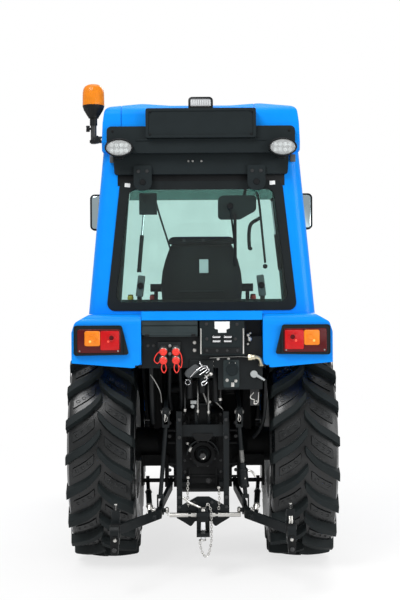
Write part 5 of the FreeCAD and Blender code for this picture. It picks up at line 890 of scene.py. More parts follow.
# ---- driver's seat ----------------------------------------------------------------------------
def barrel_width(t):
    """Share of the seat back's width at a height: a barrel, narrower at its foot and towards its top."""
    stations = ((0.0, 0.80), (0.08, 0.90), (0.22, 0.97), (0.42, 1.0), (0.58, 0.965), (0.72, 0.89),
                (0.86, 0.80), (1.0, 0.72))
    for (t0, w0), (t1, w1) in zip(stations, stations[1:]):
        if t <= t1:
            return w0 + (w1 - w0) * (t - t0) / (t1 - t0)
    return 0.72


def barrel(piece, lo, hi, soft):
    """A tall cushion with a barrel's outline, its cross-section and its ends rounded."""
    centre = (lo + hi) / 2
    half = (hi - lo) / 2
    rows = []
    for k in range(33):
        t = 0.5 - 0.5 * math.cos(math.pi * k / 32)
        end = min(t, 1 - t) * (hi.z - lo.z)
        drop = soft * (1 - math.sqrt(max(0.0, 1 - (1 - min(1.0, end / soft)) ** 2)))
        wide, deep = half.x * barrel_width(t) - drop, half.y - min(drop, half.y * 0.92)
        ring = []
        for j in range(40):
            angle = 2 * math.pi * j / 40
            c, s = math.cos(angle), math.sin(angle)
            ring.append(Vector((centre.x + wide * math.copysign(abs(c) ** 0.42, c),
                                centre.y + deep * math.copysign(abs(s) ** 0.55, s),
                                lo.z + t * (hi.z - lo.z))))
        rows.append(ring)
    piece.grid(rows)


# The cushions are made in metres, as their cloth runs are; the piping's level and width are shares.
CLOTH_FRAMES = 20
VOXEL = 0.006
HELD_DEPTH = 0.008
SWELL_LIMIT = 0.018
SEAM_DEPTH, SEAM_WIDTH = 0.0075, 0.0055
PIPING_LEVEL, PIPING_DEPTH, PIPING_WIDTH, PIPING_REACH = 0.72, 0.004, 0.05, 0.03


def cushion(name, node, held_low, channels):
    """A cushion in a CAD node's box, its form blown up by a short cloth run and its seams drawn in after."""
    a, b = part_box(node)
    inset = Vector((0.014, 0.012, 0.012))
    lo, hi = a + inset, b - inset
    thin = min(range(3), key=lambda k: hi[k] - lo[k])
    piece = Piece(name, "seat_fabric", replaces=(node,), unit=1.0).use(FABRIC)
    if thin == 1:
        barrel(piece, lo, hi, 0.030)
    else:
        piece.block(lo, hi, (hi[thin] - lo[thin]) * 0.40, None, 6)
    made = piece.done(60)
    remesh = made.modifiers.new("even", "REMESH")
    remesh.mode = "VOXEL"
    remesh.voxel_size = VOXEL
    settle(made)
    start = [v.co.copy() for v in made.data.vertices]
    held = made.vertex_groups.new(name="held")
    held.add([i for i, p in enumerate(start)
              if (p[thin] - lo[thin] if held_low else hi[thin] - p[thin]) < HELD_DEPTH], 1.0, "REPLACE")
    cloth = made.modifiers.new("cloth", "CLOTH")
    cloth.settings.quality = 4
    cloth.settings.mass = 0.3
    cloth.settings.tension_stiffness = 30
    cloth.settings.compression_stiffness = 30
    cloth.settings.bending_stiffness = 0.5
    cloth.settings.use_pressure = True
    cloth.settings.uniform_pressure_force = 4.0
    cloth.settings.vertex_group_mass = "held"
    cloth.settings.effector_weights.gravity = 0.0
    cloth.point_cache.frame_start = 1
    cloth.point_cache.frame_end = CLOTH_FRAMES
    for step in range(1, CLOTH_FRAMES + 1):
        scene.frame_set(step)
    settle(made)
    scene.frame_set(1)
    across = [k for k in range(3) if k != thin]
    for v, before in zip(made.data.vertices, start):
        move = v.co - before
        if move.length > SWELL_LIMIT:
            v.co = before + move.normalized() * SWELL_LIMIT
        for k in range(3):
            v.co[k] = min(max(v.co[k], a[k]), b[k])
    finer = made.modifiers.new("fine", "SUBSURF")
    finer.levels = 1
    settle(made)
    for v in made.data.vertices:
        face = (v.co[thin] - lo[thin]) / (hi[thin] - lo[thin])
        depth = face if held_low else 1 - face
        sink = 0.0
        for axis, place in channels:
            if depth > 0.5:
                sink = max(sink, SEAM_DEPTH * math.exp(-((v.co[axis] - place) / SEAM_WIDTH) ** 2))
        edge = abs(depth - PIPING_LEVEL)
        rim = min(min(v.co[k] - a[k], b[k] - v.co[k]) for k in across)
        if rim < PIPING_REACH:
            sink_side = PIPING_DEPTH * math.exp(-(edge / PIPING_WIDTH) ** 2)
            for k in across:
                if v.co[k] - a[k] < PIPING_REACH:
                    v.co[k] += sink_side
                elif b[k] - v.co[k] < PIPING_REACH:
                    v.co[k] -= sink_side
        v.co[thin] += -sink if held_low else sink
    made.data.shade_smooth()


def settle(made):
    """Applies the modifiers of an object to its mesh."""
    graph = bpy.context.evaluated_depsgraph_get()
    data = bpy.data.meshes.new_from_object(made.evaluated_get(graph))
    made.modifiers.clear()
    made.data = data


seat_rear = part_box("seat_cushion")[0].y
back_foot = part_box("seat_back")[0].z
cushion("seat_cushion_padded", "seat_cushion", held_low=True,
        channels=((0, -0.125), (0, 0.125), (1, seat_rear + 0.16), (1, seat_rear + 0.30)))
cushion("seat_back_padded", "seat_back", held_low=True,
        channels=((0, -0.120), (0, 0.120), (2, back_foot + 0.14), (2, back_foot + 0.28)))


def seat_shell():
    """Barrel-shaped moulded shell behind the seat's back, with its rolled top, bolts and blank label."""
    a, b = box("seat_back")
    shell = Piece("seat_shell", "black_plastic").use(PLASTIC)
    y = a.y - 1
    tall = b.z - a.z
    steps = ((0.0, 0.66, 10), (0.02, 0.76, 20), (0.08, 0.90, 32), (0.22, 0.97, 42), (0.42, 1.0, 50),
             (0.58, 0.965, 50), (0.72, 0.89, 46), (0.84, 0.80, 38), (0.888, 0.752, 32), (0.892, 0.738, 22),
             (0.902, 0.738, 22), (0.906, 0.795, 42), (0.93, 0.815, 48), (0.96, 0.80, 45), (0.982, 0.755, 34),
             (0.992, 0.69, 16))
    rows = []
    for t, share, deep in steps:
        line = [math.sin(math.pi / 2 * (i / 12 - 1)) for i in range(25)]
        outer = [Vector((b.x * share * u, y - 2 - deep * (1 - abs(u) ** 3.2), a.z + tall * t)) for u in line]
        rows.append(outer + [Vector((p.x, y + 6, p.z)) for p in outer[::-1]])
    shell.grid(rows)
    shell.use(DARK_FITTING)
    back = y - 52.5
    for x in (-94, 10):
        shell.bolt((x, back + 4, a.z + tall * 0.945), -Y, 7, 5)
    shell.use(CHARCOAL)
    for k in range(2):
        z = a.z + tall * (0.20 + 0.13 * k)
        shell.block((-120, back - 0.5, z), (120, back + 10, z + 10), 4)
    shell.use(WHITE).block((-12, back - 2.2, a.z + tall * 0.56), (36, back + 3, a.z + tall * 0.72), 0.6)
    shell.done()


seat_shell()


def lever_knobs():
    """Coloured knobs and rubber gaiters of the levers beside the seat."""
    a, b = box("control_levers")
    knobs = Piece("lever_knobs", "black_plastic")
    y = a.y + 30
    for x, material in ((287, RED_CAP), (-275, RED_CAP), (-399, YELLOW)):
        knobs.use(material).lathe([(0, -12), (8, -12), (13.8, -8), (16.5, 0), (17.2, 8), (16, 18),
                     (11, 26.5), (0, 29)], (x, y, b.z - 26.5), Z, 24)
        foot = max(abs(x), 330) * (1 if x > 0 else -1)
        knobs.use(SEAL).lathe([(18, 0), (24, 2), (20, 8), (22, 12), (15, 17), (17, 21),
                     (9, 26), (6.2, 28)], (foot, y + 20, b.z - 70.5), Z, 24)
    knobs.done()


lever_knobs()


# ---- equipment behind the cab -----------------------------------------------------------------
def tool_box():
    """Screws, feet and the shadow groove of the box under the rear window, the groove a black strip of
    painted shadow.
    """
    a, b = box("tool_box")
    trim = Piece("tool_box_trim", "black_plastic").use(PLASTIC)
    shelf = low("equipment_plate").y
    # Black strip under the box's foot: painted shadow.
    trim.block((a.x + 4, a.y + 6, a.z - 2.6), (b.x - 2, b.y - 4, a.z + 2), 1)
    trim.use(TOOL_BOX).block((a.x + 3, a.y - 4.5, a.z + 7), (b.x - 3, a.y + 4, a.z + 17), 3)
    trim.use(PLASTIC)
    for x in (a.x + 28, b.x - 20):
        trim.block((x - 11, a.y - 6.5, a.z + 1), (x + 11, a.y + 2, a.z + 14), 3)
    trim.use(DARK_FITTING)
    for x in (a.x + 30, a.x + 58):
        trim.bolt((x, shelf + 0.3, a.z - 46), -Y, 6.5, 5)
    trim.done()


tool_box()


def valve_box():
    """Bright edge strips, the blank patch, the four small windows and the bolts of the valve box."""
    a, b = box("valve_box")
    y = a.y - 0.2
    mid = (a.x + b.x) / 2
    trim = Piece("valve_box_trim", "black_plastic").use(STEEL)
    for x in (a.x + 6, b.x - 6):
        trim.block((x - 3, y - 2.2, a.z + 8), (x + 3, y + 1, b.z - 40), 1)
    trim.use(WHITE)
    patch = [(-37, -6), (-37, -42), (-20, -46), (-20, -62), (22, -62), (22, -46), (38, -40), (38, -6)]
    trim.plate([(mid + u, b.z + v) for u, v in patch], y - 0.9, y + 0.5, "y", 0.3, 1)
    for row in (0, 1):
        for col in (0, 1):
            x = mid - 28 + 56 * col
            z = b.z - 83 - 21 * row
            trim.use(PLASTIC).block((x - 24, y - 2.5, z - 8.5), (x + 24, y + 1, z + 8.5), 1.5)
            trim.use(CHROME).block((x - 19, y - 3.2, z - 4.6), (x + 19, y - 2, z + 4.6), 0.8)
    trim.use(DARK_FITTING)
    for x, z in ((a.x + 34, b.z - 18), (b.x - 38, b.z - 20), (a.x + 36, b.z - 92), (b.x - 46, b.z - 94)):
        trim.bolt((x, y, z), -Y, 6.8, 5)
    trim.use(PLASTIC).block((a.x + 18, y - 4, a.z + 10), (b.x - 18, y + 1, a.z + 40), 2)
    trim.use(DARK_FITTING)
    for k in range(4):
        trim.bolt((a.x + 36 + k * 50.5, y - 3.8, a.z + 25), -Y, 5.5, 4.5)
    trim.done()


valve_box()


def couplers():
    """Four quick couplers with knurled collars, dust caps and their strap loops, on a bolted block."""
    a, b = box("hydraulic_couplers")
    plate = b.y - 26
    made = Piece("coupler_set", "bright_steel", replaces=("hydraulic_couplers",)).use(BLACK_PAINT)
    made.block((a.x, plate, a.z), (b.x, b.y - 0.2, b.z), 3)
    made.use(DULL_STEEL)
    for z in (b.z - 18, b.z - 58):
        made.bolt(((a.x + b.x) / 2 + 4, plate, z), -Y, 6.2, 5)
    down = Vector((0, -math.cos(math.radians(24)), -math.sin(math.radians(24))))
    low_way = Vector((0, math.sin(math.radians(24)), -math.cos(math.radians(24))))
    for x in (a.x + 29, a.x + 92):
        for z in (a.z + 46, a.z + 89):
            at = Vector((x, plate + 4, z))
            made.use(DARK_FITTING).lathe(solid((20.5, 0), (21, 1), (21, 12), (19.5, 13.5), (19.5, 18),
                                               (16.5, 19), (16.5, 24)), at, down, 6)
            made.use(STEEL).lathe(solid((18, 18), (19.2, 19.5), (19.2, 38), (18, 39.5), (16, 40)),
                                  at, down, 36)
            for k in range(18):
                out = X * math.cos(math.pi * k / 9) + low_way * math.sin(math.pi * k / 9)
                made.pipe([at + out * 19.2 + down * 21.5, at + out * 19.2 + down * 36.5], 0.9, 5)
            made.use(RED_CAP).lathe([(12, 39), (18, 39.5), (19, 41), (19, 48), (17.5, 51.5),
                        (14, 53.5), (13.5, 52), (6, 51.5), (5, 53.5), (0, 54)], at, down, 36)
            for k in range(10):
                out = X * math.cos(math.pi * k / 5) + low_way * math.sin(math.pi * k / 5)
                made.pipe([at + out * 18.8 + down * 42, at + out * 18.5 + down * 49], 1.2, 5)
            cap = at + down * 46
            upper = z > a.z + 60
            if upper and x < a.x + 50:
                loop = near(cap, (-16, 0, 4), (-34, 4, -12), (-45, 8, -40), (-30, 6, -56), (-16, 2, -44))
            elif upper:
                loop = near(cap, (16, 0, 4), (26, 4, -16), (30, 8, -48), (24, 6, -78), (14, 2, -66))
            else:
                loop = near(cap, (-6, 0, -16), (-9, 2, -40), (2, 4, -60), (14, 2, -44), (10, 0, -14))
            made.pipe(loop, 2.4, 8)
    made.done()


couplers()


def trailer_socket():
    """Seven-pin socket with its round sprung lid, bolts and the tab under it."""
    a, b = box("trailer_socket")
    made = Piece("socket_and_lid", "black_plastic", replaces=("trailer_socket",)).use(TOOL_BOX)
    back = b.y - 6
    made.plate(rounded([(a.x, a.z, 8), (a.x, b.z, 8), (b.x, b.z, 8), (b.x, a.z, 8)]), back, b.y)
    cx = a.x + 44
    cz = b.z - 47
    made.lathe(solid((34, 0), (35, 2), (35, 6), (30.5, 10), (29, 36)), (cx, back, cz), -Y, 40)
    lid = Vector((cx, back - 32, cz))
    made.use(CHARCOAL).lathe([(0, 0), (30.5, 0), (32, 2), (32, 8), (30, 10.5), (24, 11), (22, 9),
                (0, 9.5)], lid, -Y, 40)
    made.block((cx - 13, lid.y - 8, cz + 24), (cx + 13, back, cz + 36), 3)
    made.use(STEEL).lathe(disc(3.5, 32), (cx - 16, lid.y + 2, cz + 31), X, 12)
    for dx, dz in ((-26, -56), (18, -60)):
        made.bolt((cx + dx, back, cz + dz), -Y, 6.5, 5)
    made.block((cx - 6, back - 6, a.z + 4), (cx + 10, back + 1, a.z + 26), 1.5)
    made.done()


trailer_socket()


# ---- steel lines and fittings behind the cab --------------------------------------------------
def rear_fittings():
    """Bolts of the equipment plate, the brass elbow and its line, unions, hoses and rigid steel lines."""
    plate = low("equipment_plate").y
    valve_low, valve_high = box("valve_box")
    made = Piece("rear_fittings", "bright_steel").use(STEEL)
    for z in (1186, 1147.5):
        made.bolt((valve_low.x - 26, plate, z), -Y, 7, 6)
    for x, z in ((50, 1090.6), (50, 1069.6), (80, 1104), (132, 1104)):
        made.bolt((x, plate, z), -Y, 5.8, 5)
    made.use(BRASS)
    elbow = Vector((valve_high.x + 18, plate - 18, 1112))
    made.lathe(solid((15, 0), (16, 2), (16, 18), (14, 20)), elbow, X, 6, False)
    made.lathe(solid((12.5, 18), (13.5, 20), (13.5, 34), (11.5, 36)), elbow, X, 28)
    made.pipe([elbow + X * 30, elbow + Vector((48, 0, -2)), elbow + Vector((62, 0, -14)),
               elbow + Vector((66, 0, -36))], 9.5, 18)
    made.lathe(solid((12.5, 0), (13.2, 1.5), (13.2, 12)), elbow + Vector((66, 0, -32)), -Z, 6, False)
    made.use(DULL_STEEL).pipe([elbow, elbow - X * 40 + Z * 4, elbow - X * 110 + Z, elbow - X * 185 - Z * 2,
               (valve_low.x + 52, plate - 6, 1108)], 2.2, 10)
    made.use(STEEL)
    for x, z, r in ((valve_high.x + 18, 1222, 9), (valve_high.x + 26, 1203, 11),
                    (valve_high.x + 17, 1178, 7), (valve_high.x + 30, 1232, 6)):
        made.lathe(solid((r, 0), (r * 1.1, 3), (r, 14), (r * 0.6, 18)), (x, plate + 1, z), -Y, 20)
    made.use(PALE_GREY)
    head = Vector((259, plate - 1, 1027))
    made.lathe(solid((17, 0), (18.5, 2), (18.5, 13), (16, 16), (8, 17.5)), head, -Y, 32)
    made.pipe(near(head, (10, -9, -4), (30, -9, -16), (53, -6, -31)), lambda t: 8.5 - 3 * t, 14)
    made.use(PLASTIC).pipe([head + Vector((50, -6, -29)), (316.5, plate + 4, 985), (317.5, plate + 20, 900),
               (312, plate + 60, 800), (292, plate + 100, 735), (262, plate + 150, 690)], 8.5, 14)
    made.pipe([(-259, plate + 50, 1150), (-259, plate + 62, 1060), (-258, plate + 70, 960),
               (-256, plate + 85, 860), (-252, plate + 130, 770)], 12.5, 16)
    made.pipe([(-118, plate + 50, 1150), (-112, plate + 90, 1020), (-108, plate + 140, 900),
               (-112, plate + 170, 840)], 10, 16)
    made.pipe([(-162, plate + 50, 1150), (-166, plate + 90, 1020), (-170, plate + 150, 900),
               (-160, plate + 190, 830)], 10, 16)
    made.use(DULL_STEEL).pipe([(-262, plate + 40, 1024), (-240, plate + 36, 992), (-214, plate + 50, 936),
               (-208, plate + 80, 880)], 2.6, 8)
    made.use(PLASTIC)
    for x, top, bottom, r in ((-62, 1020, 900, 16), (0, 1030, 930, 20), (64, 1000, 880, 14)):
        made.pipe([(x, plate + 85, top + 60), (x * 1.02, plate + 80, top), (x * 1.05, plate + 110, bottom)],
                  r, 18)
    made.done()
    lines = Piece("steel_lines", "bright_steel")
    rear = low("top_link_bracket").y - 10
    for x, top, bottom, r in ((-24, 948, 795, 4), (31, 952, 790, 4.2), (92, 955, 855, 5), (-90, 930, 800, 4)):
        lines.use(DARK_FITTING if abs(x) > 50 else DULL_STEEL)
        lines.pipe([(x, rear + 30, top + 50), (x, rear, top), (x, rear, bottom + 30), (x, rear + 45, bottom)],
                   r, 12)
        lines.use(STEEL).lathe(disc(r * 2.1, 14), (x, rear, bottom + 40), -Z, 6, False)
    lines.use(DULL_STEEL).pipe([(-4, rear, 955), (4, rear - 2, 925), (20, rear, 880), (22, rear + 30, 860)],
                               4.2, 12)
    lines.pipe([(55, rear, 888), (82, rear - 6, 862), (104, rear - 4, 838), (108, rear + 30, 825)], 3, 10)
    lines.use(PALE_GREY).block((-62, rear - 12, 866), (-30, rear + 2, 884), 3)
    lines.lathe([(0, 0), (9, 0), (10, 3), (9, 10), (0, 11)], (-51, rear - 2, 853), -Y, 20)
    lines.use(STEEL).bolt((37.5, rear - 4, 876), -Y, 6, 8)
    lines.done()


rear_fittings()


def stowed_clips():
    """Spring-wire clips and a ball end on a grey holder under the couplers, and two clips at the right."""
    y = low("equipment_plate").y - 14
    made = Piece("stowed_clips", "bright_steel").use(GREY)
    holder = rounded([(-41, -21, 20), (41, -21, 20), (41, 21, 20), (-41, 21, 20)], 6)
    turn = Matrix.Rotation(math.radians(36), 2)
    spots = [turn @ Vector(p) for p in holder]
    made.plate([(-50 + p.x, 1044 + p.y) for p in spots], y + 1, y + 14, "y", 4, 3)
    made.use(BLACK_PAINT).block((-66, y + 6, 1010), (56, y + 13.6, 1100), 4)
    made.block((-10, y - 6, 985), (30, y + 10, 1012), 6)
    made.use(CHROME)
    hook = [(-59.4, 1014.7), (-39.7, 1038.3), (-18.1, 1055.9), (3.5, 1069), (21.1, 1069), (27.2, 1055.9),
            (12.1, 1042.9), (-13.6, 1025.3)]
    made.pipe([(x, y - 8 - 4 * math.sin(k), z) for k, (x, z) in enumerate(hook)], 2.7, 10)
    made.pipe([(x + 6, y - 14, z - 10) for x, z in hook[2:7]], 2.2, 10)
    made.pipe([(-12, y, 1092), (-10, y - 8, 1082), (0, y - 10, 1072)], 4, 10)
    made.pipe([(-0.5, y - 2, 969.5), (-3, y - 8, 986.5), (16.6, y - 10, 995.1),
               (23.1, y - 8, 1012.7), (12.1, y - 4, 1025.3)], 2.7, 10)
    made.pipe([(-2, y - 4, 972), (12, y - 10, 976), (26, y - 8, 990)], 2.4, 10)
    made.ring((-72.4, y - 4, 988.6), X, Z, 12.5, 12.5, 1.7, 24)
    made.use(STEEL).lathe([(0, -11), (6, -9.2), (9.5, -5.5), (11, 0), (9.5, 5.5), (6, 9.2), (0, 11)],
               (43.5, y - 12, 1029.8), Y, 24)
    made.pipe([(34, y - 10, 1026), (22, y - 6, 1018), (8, y, 1006)], 4.5, 12)
    clip = Vector((262, y + 55, 930))
    made.use(DARK_FITTING).block(clip + Vector((-20, 4, -66)), clip + Vector((26, 10, 30)), 2)
    made.use(STEEL).pipe(near(clip, (-2, 0, 0), (-18, -4, -18), (-16, -4, -30), (2, 0, -36)), 2.6, 10)
    made.pipe(near(clip, (22, 0, 2), (21, -3, -26), (19, -3, -52)), 3, 10)
    made.block(clip + Vector((-4, -6, -60)), clip + Vector((16, 4, -40)), 4)
    made.use(PLASTIC).lathe(disc(6, 3), clip + Vector((8, -6, -48)), -Y, 16)
    made.done()


stowed_clips()


# ---- hitch and power take-off -----------------------------------------------------------------
def power_take_off():
    """Splined shaft in its sealed housing, its shield's lip, and the ribs and bolts of the rear cover."""
    a, b = box("pto_shaft")
    centre = (a + b) / 2
    face = b.y
    made = Piece("pto_and_cover", "bright_steel", replaces=("pto_shaft",))
    made.use(CAST).lathe(solid((44, 0), (46, 3), (46, 22), (42, 26), (32, 28), (30, 26)),
               (centre.x, face + 23, centre.z), -Y, 48)
    made.use(SEAL).lathe([(18, 0), (30, 0), (29.5, 4), (18.5, 5)], (centre.x, face - 5, centre.z), -Y, 40)
    made.use(DARK_STEEL)
    line = []
    for k in range(6):
        mid = math.pi * k / 3
        for turn, radius in ((-0.24, 14.5), (-0.20, 17.2), (0.20, 17.2), (0.24, 14.5)):
            line.append((centre.x + radius * math.cos(mid + turn), centre.z + radius * math.sin(mid + turn)))
    made.plate(line, a.y, face - 4, "y", 1.2, 2)
    made.use(STEEL)
    crescent = [(centre.x + 12.5 * math.cos(t), a.y - 0.4, centre.z + 12.5 * math.sin(t))
                for t in (-2.2, -1.7, -1.2, -0.7, -0.2, 0.2)]
    made.pipe(crescent, lambda t: 0.6 + 2 * math.sin(math.pi * t), 10)
    made.use(DARK_FITTING)
    for k in range(8):
        angle = math.pi * (k + 0.5) / 4
        made.bolt((centre.x + 66 * math.cos(angle), face - 1, centre.z + 66 * math.sin(angle)), -Y, 6.2, 6)
    made.use(STEEL)
    for x, z, r in ((-63, 24, 11), (-20, 52, 7.5), (-78, 55, 6)):
        made.bolt((centre.x + x, face - 12, centre.z + z), -Y, r, 9)
        made.lathe(disc(r * 0.9, 13), (centre.x + x, face, centre.z + z), -Y, 16)
    made.use(CAST)
    lip = rounded([(-52, 118), (-52, 112, 4), (-40, 86, 20), (-20, 78, 20), (20, 78, 20),
                   (40, 86, 20), (52, 112, 4), (52, 118)], 5)
    made.plate([(centre.x + u, centre.z + v) for u, v in lip], a.y + 8, a.y + 30, "y", 4, 3)
    for x in (-72, 72):
        made.block((x - 7, face - 10, centre.z + 60), (x + 7, face + 4, centre.z + 200), 4)
        made.block((x - 6, face - 10, centre.z - 180), (x + 6, face + 4, centre.z - 75), 4)
    made.block((-85, face - 12, centre.z - 120), (85, face + 4, centre.z - 108), 4)
    made.use(DARK_FITTING)
    for x in (-94, 94):
        for z in (-150, -95, -35, 100, 155, 205):
            made.bolt((centre.x + x, face - 0.5, centre.z + z), -Y, 6.2, 5.5)
    made.bolt((30, face - 2, centre.z - 140), -Y, 12.5, 10)
    made.done()


power_take_off()


def draw_bar():
    """Bright cross bar, bent handle, clevis pin with its head and lanyard, and the three chains."""
    a, b = box("hitch_frame")
    bar_y = a.y + 10
    bar_z = 310
    pin_low, pin_high = box("drawbar_clevis")
    pin_y = pin_low.y + 35
    made = Piece("drawbar_trim", "bright_steel").use(STEEL)
    made.pipe([(a.x - 0.8, bar_y, bar_z), (-34, bar_y, bar_z)], 11.2, 20)
    made.pipe([(34, bar_y, bar_z), (b.x + 0.8, bar_y, bar_z)], 11.2, 20)
    made.use(CHROME).lathe(solid((12.4, 0), (13, 1), (13, 155), (11, 160)),
               (0, pin_y, pin_low.z - 0.4), Z, 32)
    made.use(STEEL).lathe(solid((18.5, 0), (21, 3), (21, 12), (16.5, 18), (12, 21)),
               (0, pin_y, pin_high.z - 18), Z, 32)
    made.pipe([(-12, pin_y, pin_high.z), (-34, pin_y + 12, pin_high.z + 8),
               (-66, pin_y + 30, pin_high.z + 20), (-100, pin_y + 45, pin_high.z + 42)], 5.8, 16)
    made.chain([(12, pin_y, pin_high.z + 3), (22, pin_y - 4, pin_high.z + 18),
                (34, pin_y - 4, pin_high.z + 4), (41, pin_y - 2, 330), (41.5, pin_y, 250),
                (40, pin_y, 195), (30, pin_y, 140), (12, pin_y, 118), (-6, pin_y, 140),
                (-16, pin_y, 185), (-10, pin_y, 206)], 8, 1.6)
    made.ring((-4, pin_y, 200), X, Y, 17, 17, 2.2, 24)
    rail_y = a.y + 20
    for x, top, bottom in ((-75, 492, 352), (80, 440, 340)):
        made.chain([(x, rail_y, top), (x * 1.04, rail_y, (top + bottom) / 2), (x, rail_y, bottom)], 8.5, 1.7)
        made.use(STEEL).bolt((x, rail_y + 6, top + 4), -Y, 6, 5)
    made.use(DARK_FITTING)
    for x in (-119, 119):
        for z in (345, 395, 700, 790):
            made.bolt((x, rail_y + 10.5, z), -Y, 7.5, 6)
    for x in (-45, 45):
        made.bolt((x, a.y + 15.5, 372), -Y, 6.5, 5)
    made.use(BLACK_PAINT).block((-24, pin_y - 19, pin_high.z - 70), (24, pin_y + 19, pin_high.z - 0.3), 4)
    made.done()


draw_bar()


def lynch_pin(piece, at, axis, size=8):
    """A pin's washer and nose, its spring ring folded over it."""
    axis = Vector(axis)
    piece.use(STEEL).lathe(disc(size * 1.9, 3), at, axis, 24, False)
    piece.lathe(solid((size * 1.25, 0), (size * 1.25, 22), (size * 0.9, 27)), at, axis, 20)
    spot = Vector(at) + axis * 14
    piece.lathe([(0, 0), (3.4, 0), (3.4, 34), (0, 36)], spot + Z * 14, -Z, 10)
    piece.ring(spot + Z * 2 + axis * 4, axis, Z, 13, 16, 1.6, 20)


def thread(core, crest, pitch, turns):
    """Profile of a threaded rod 66 mm long."""
    profile = [(0, 0)]
    for k in range(turns):
        profile += [(core, pitch * k), (crest, pitch * (k + 0.5))]
    return profile + [(0, 66)]


def hitch_arms():
    """Pins, threads, springs and nuts on the links, each on the body that carries it."""
    for side, name in SIDES:
        rod_low, rod_high = box("lift_rod_" + name)
        mid_y = (rod_low.y + rod_high.y) / 2
        pin_x = 187 * side
        top = Piece("lift_rod_fittings_" + name, "bright_steel", "lift_rod_" + name + "_body").use(STEEL)
        top.bolt((pin_x - 17.8, mid_y, rod_high.z - 20), -X, 10, 6)
        top.bolt((pin_x + 17.8, mid_y, rod_high.z - 20), X, 10, 6)
        top.ring((pin_x, mid_y - 18.5, rod_high.z - 52), X, Z, 7.5, 16, 1.6, 20)
        top.pipe([(pin_x - 4, mid_y - 18.5, rod_high.z - 30), (pin_x - 3, mid_y - 21, rod_high.z - 46),
                  (pin_x - 6, mid_y - 18.5, rod_high.z - 62)], 2.2, 8)
        top.done()
        link = Piece("link_fittings_" + name, "bright_steel", "link_" + name).use(STEEL)
        pin_z = 330
        lynch_pin(link, (side * 245.5, mid_y, pin_z), (side, 0, 0))
        link.lathe([(0, 0), (13, 0), (16.5, 4), (16.5, 10), (11, 16), (0, 17)],
                   (side * 190.5, mid_y, pin_z), (-side, 0, 0), 28)
        link.ring((side * 179.5, mid_y, pin_z - 12), Y, Z, 10, 16, 1.5, 18)
        hook = Vector((side * 414, low("lower_link_" + name).y + 52, 305))
        link.use(DULL_STEEL).lathe([(29, 0), (31, 0), (31, 0.6), (29, 0.6)],
                                   hook + Vector((20.2 * side, 0, 0)), (side, 0, 0), 40)
        face = hook.y - 52
        link.use(CAST).plate(rounded([(hook.x - 15, 212, 10), (hook.x - 19, 262, 10), (hook.x - 13, 300, 8),
                            (hook.x + 13, 300, 8), (hook.x + 19, 262, 10), (hook.x + 15, 212, 10)], 4),
                   face - 8, face + 12, "y", 3)
        link.block((hook.x - 23.5, face + 16, 318), (hook.x + 23.5, face + 50, 352), 7)
        link.use(DARK_FITTING).lathe(solid((9.5, 0), (10.5, 2), (10.5, 8), (6, 11)),
                   (hook.x, face - 8, 238), -Y, 24)
        for k in range(5):
            link.ring((hook.x, face + 88, 410.5 + 4 * k), X, Y, 9.5, 9.5, 1.4, 18)
        link.use(STEEL).bolt((hook.x + (3 if side < 0 else -2), face - 8, 282), -Y, 6.2, 6)
        link.lathe([(0, 0), (4.2, 0), (4.2, 34), (7.5, 35), (7.5, 40), (0, 41)],
                   (hook.x, face + 88, 396), Z, 16)
        if side > 0:
            for x in (hook.x - 10.5, hook.x + 0.5):
                link.pipe([(x, face + 10, 356), (x, face + 6, 366), (x, face + 14, 388)], 4.2, 12)
        link.lathe(disc(6, 36), hook + Vector((-18, 40, 60)), X, 14)
        link.done()
        stay = Piece("stabiliser_fittings_" + name, "bright_steel", "link_" + name).use(DULL_STEEL)
        front = Vector((side * 300, -860, 420))
        rear = Vector((side * 264, -1360, 318))
        run = (rear - front).normalized()
        for share in (0.35, 0.70):
            stay.lathe(solid((17.5, 0), (18.5, 2), (18.5, 14)),
                       front.lerp(rear, share) + run * (1 if share > 0.5 else -15), run, 6, False)
        stay.use(STEEL).lathe(thread(10.2, 11.8, 3, 22), front.lerp(rear, 0.70) + run * 15, run, 20)
        stay.lathe([(0, 0), (10, 0), (12, 2), (12, 8), (0, 10)], rear + X * (side * 12), (side, 0, 0), 20)
        stay.ring(rear + X * (side * 19) + Z * 4, Y, Z, 12, 18, 1.6, 20)
        stay.done()
    foot = Vector((217, -1240, 400))
    head = Vector((187, -1240, 760))
    run = (head - foot).normalized()
    made = Piece("turnbuckle", "bright_steel", "lift_rod_right_body").use(DULL_STEEL)
    made.lathe(thread(11.2, 13, 3.2, 20), foot + run * 172, run, 24)
    made.use(BLACK_PAINT)
    for collar in (46, 124):
        made.lathe(solid((22.5, 0), (24, 3), (24, 12), (22.5, 15)), foot + run * collar, run, 32)
    made.use(STEEL).lathe([(0, 0), (4.5, 0), (5.5, 3), (3.5, 6), (3.5, 12), (0, 13)],
               foot + run * 95 + Vector((5, -21.5, 0)), -Y, 14)
    made.pipe([foot + run * 131 + Vector((22, 0, 0)), foot + run * 125 + Vector((44, -6, 0)),
               foot + run * 104 + Vector((60, -10, -6))], 5, 12)
    made.done()


hitch_arms()


def lower_details():
    """Ribs and bolts of the rear casting, seen under the fenders."""
    made = Piece("casting_details", "cast_dark")
    casting_rear = -1112
    for side in (LEFT, RIGHT):
        made.use(CAST)
        for z in (480, 545, 655, 720):
            made.block((side * 150 - 30, casting_rear - 6, z - 5),
                       (side * 150 + 30, casting_rear + 20, z + 5), 3)
        made.use(DARK_FITTING)
        for x in (128, 172):
            for z in (515, 690, 760):
                made.bolt((side * x, casting_rear - 1.5, z), -Y, 7.5, 6)
    made.done()


lower_details()


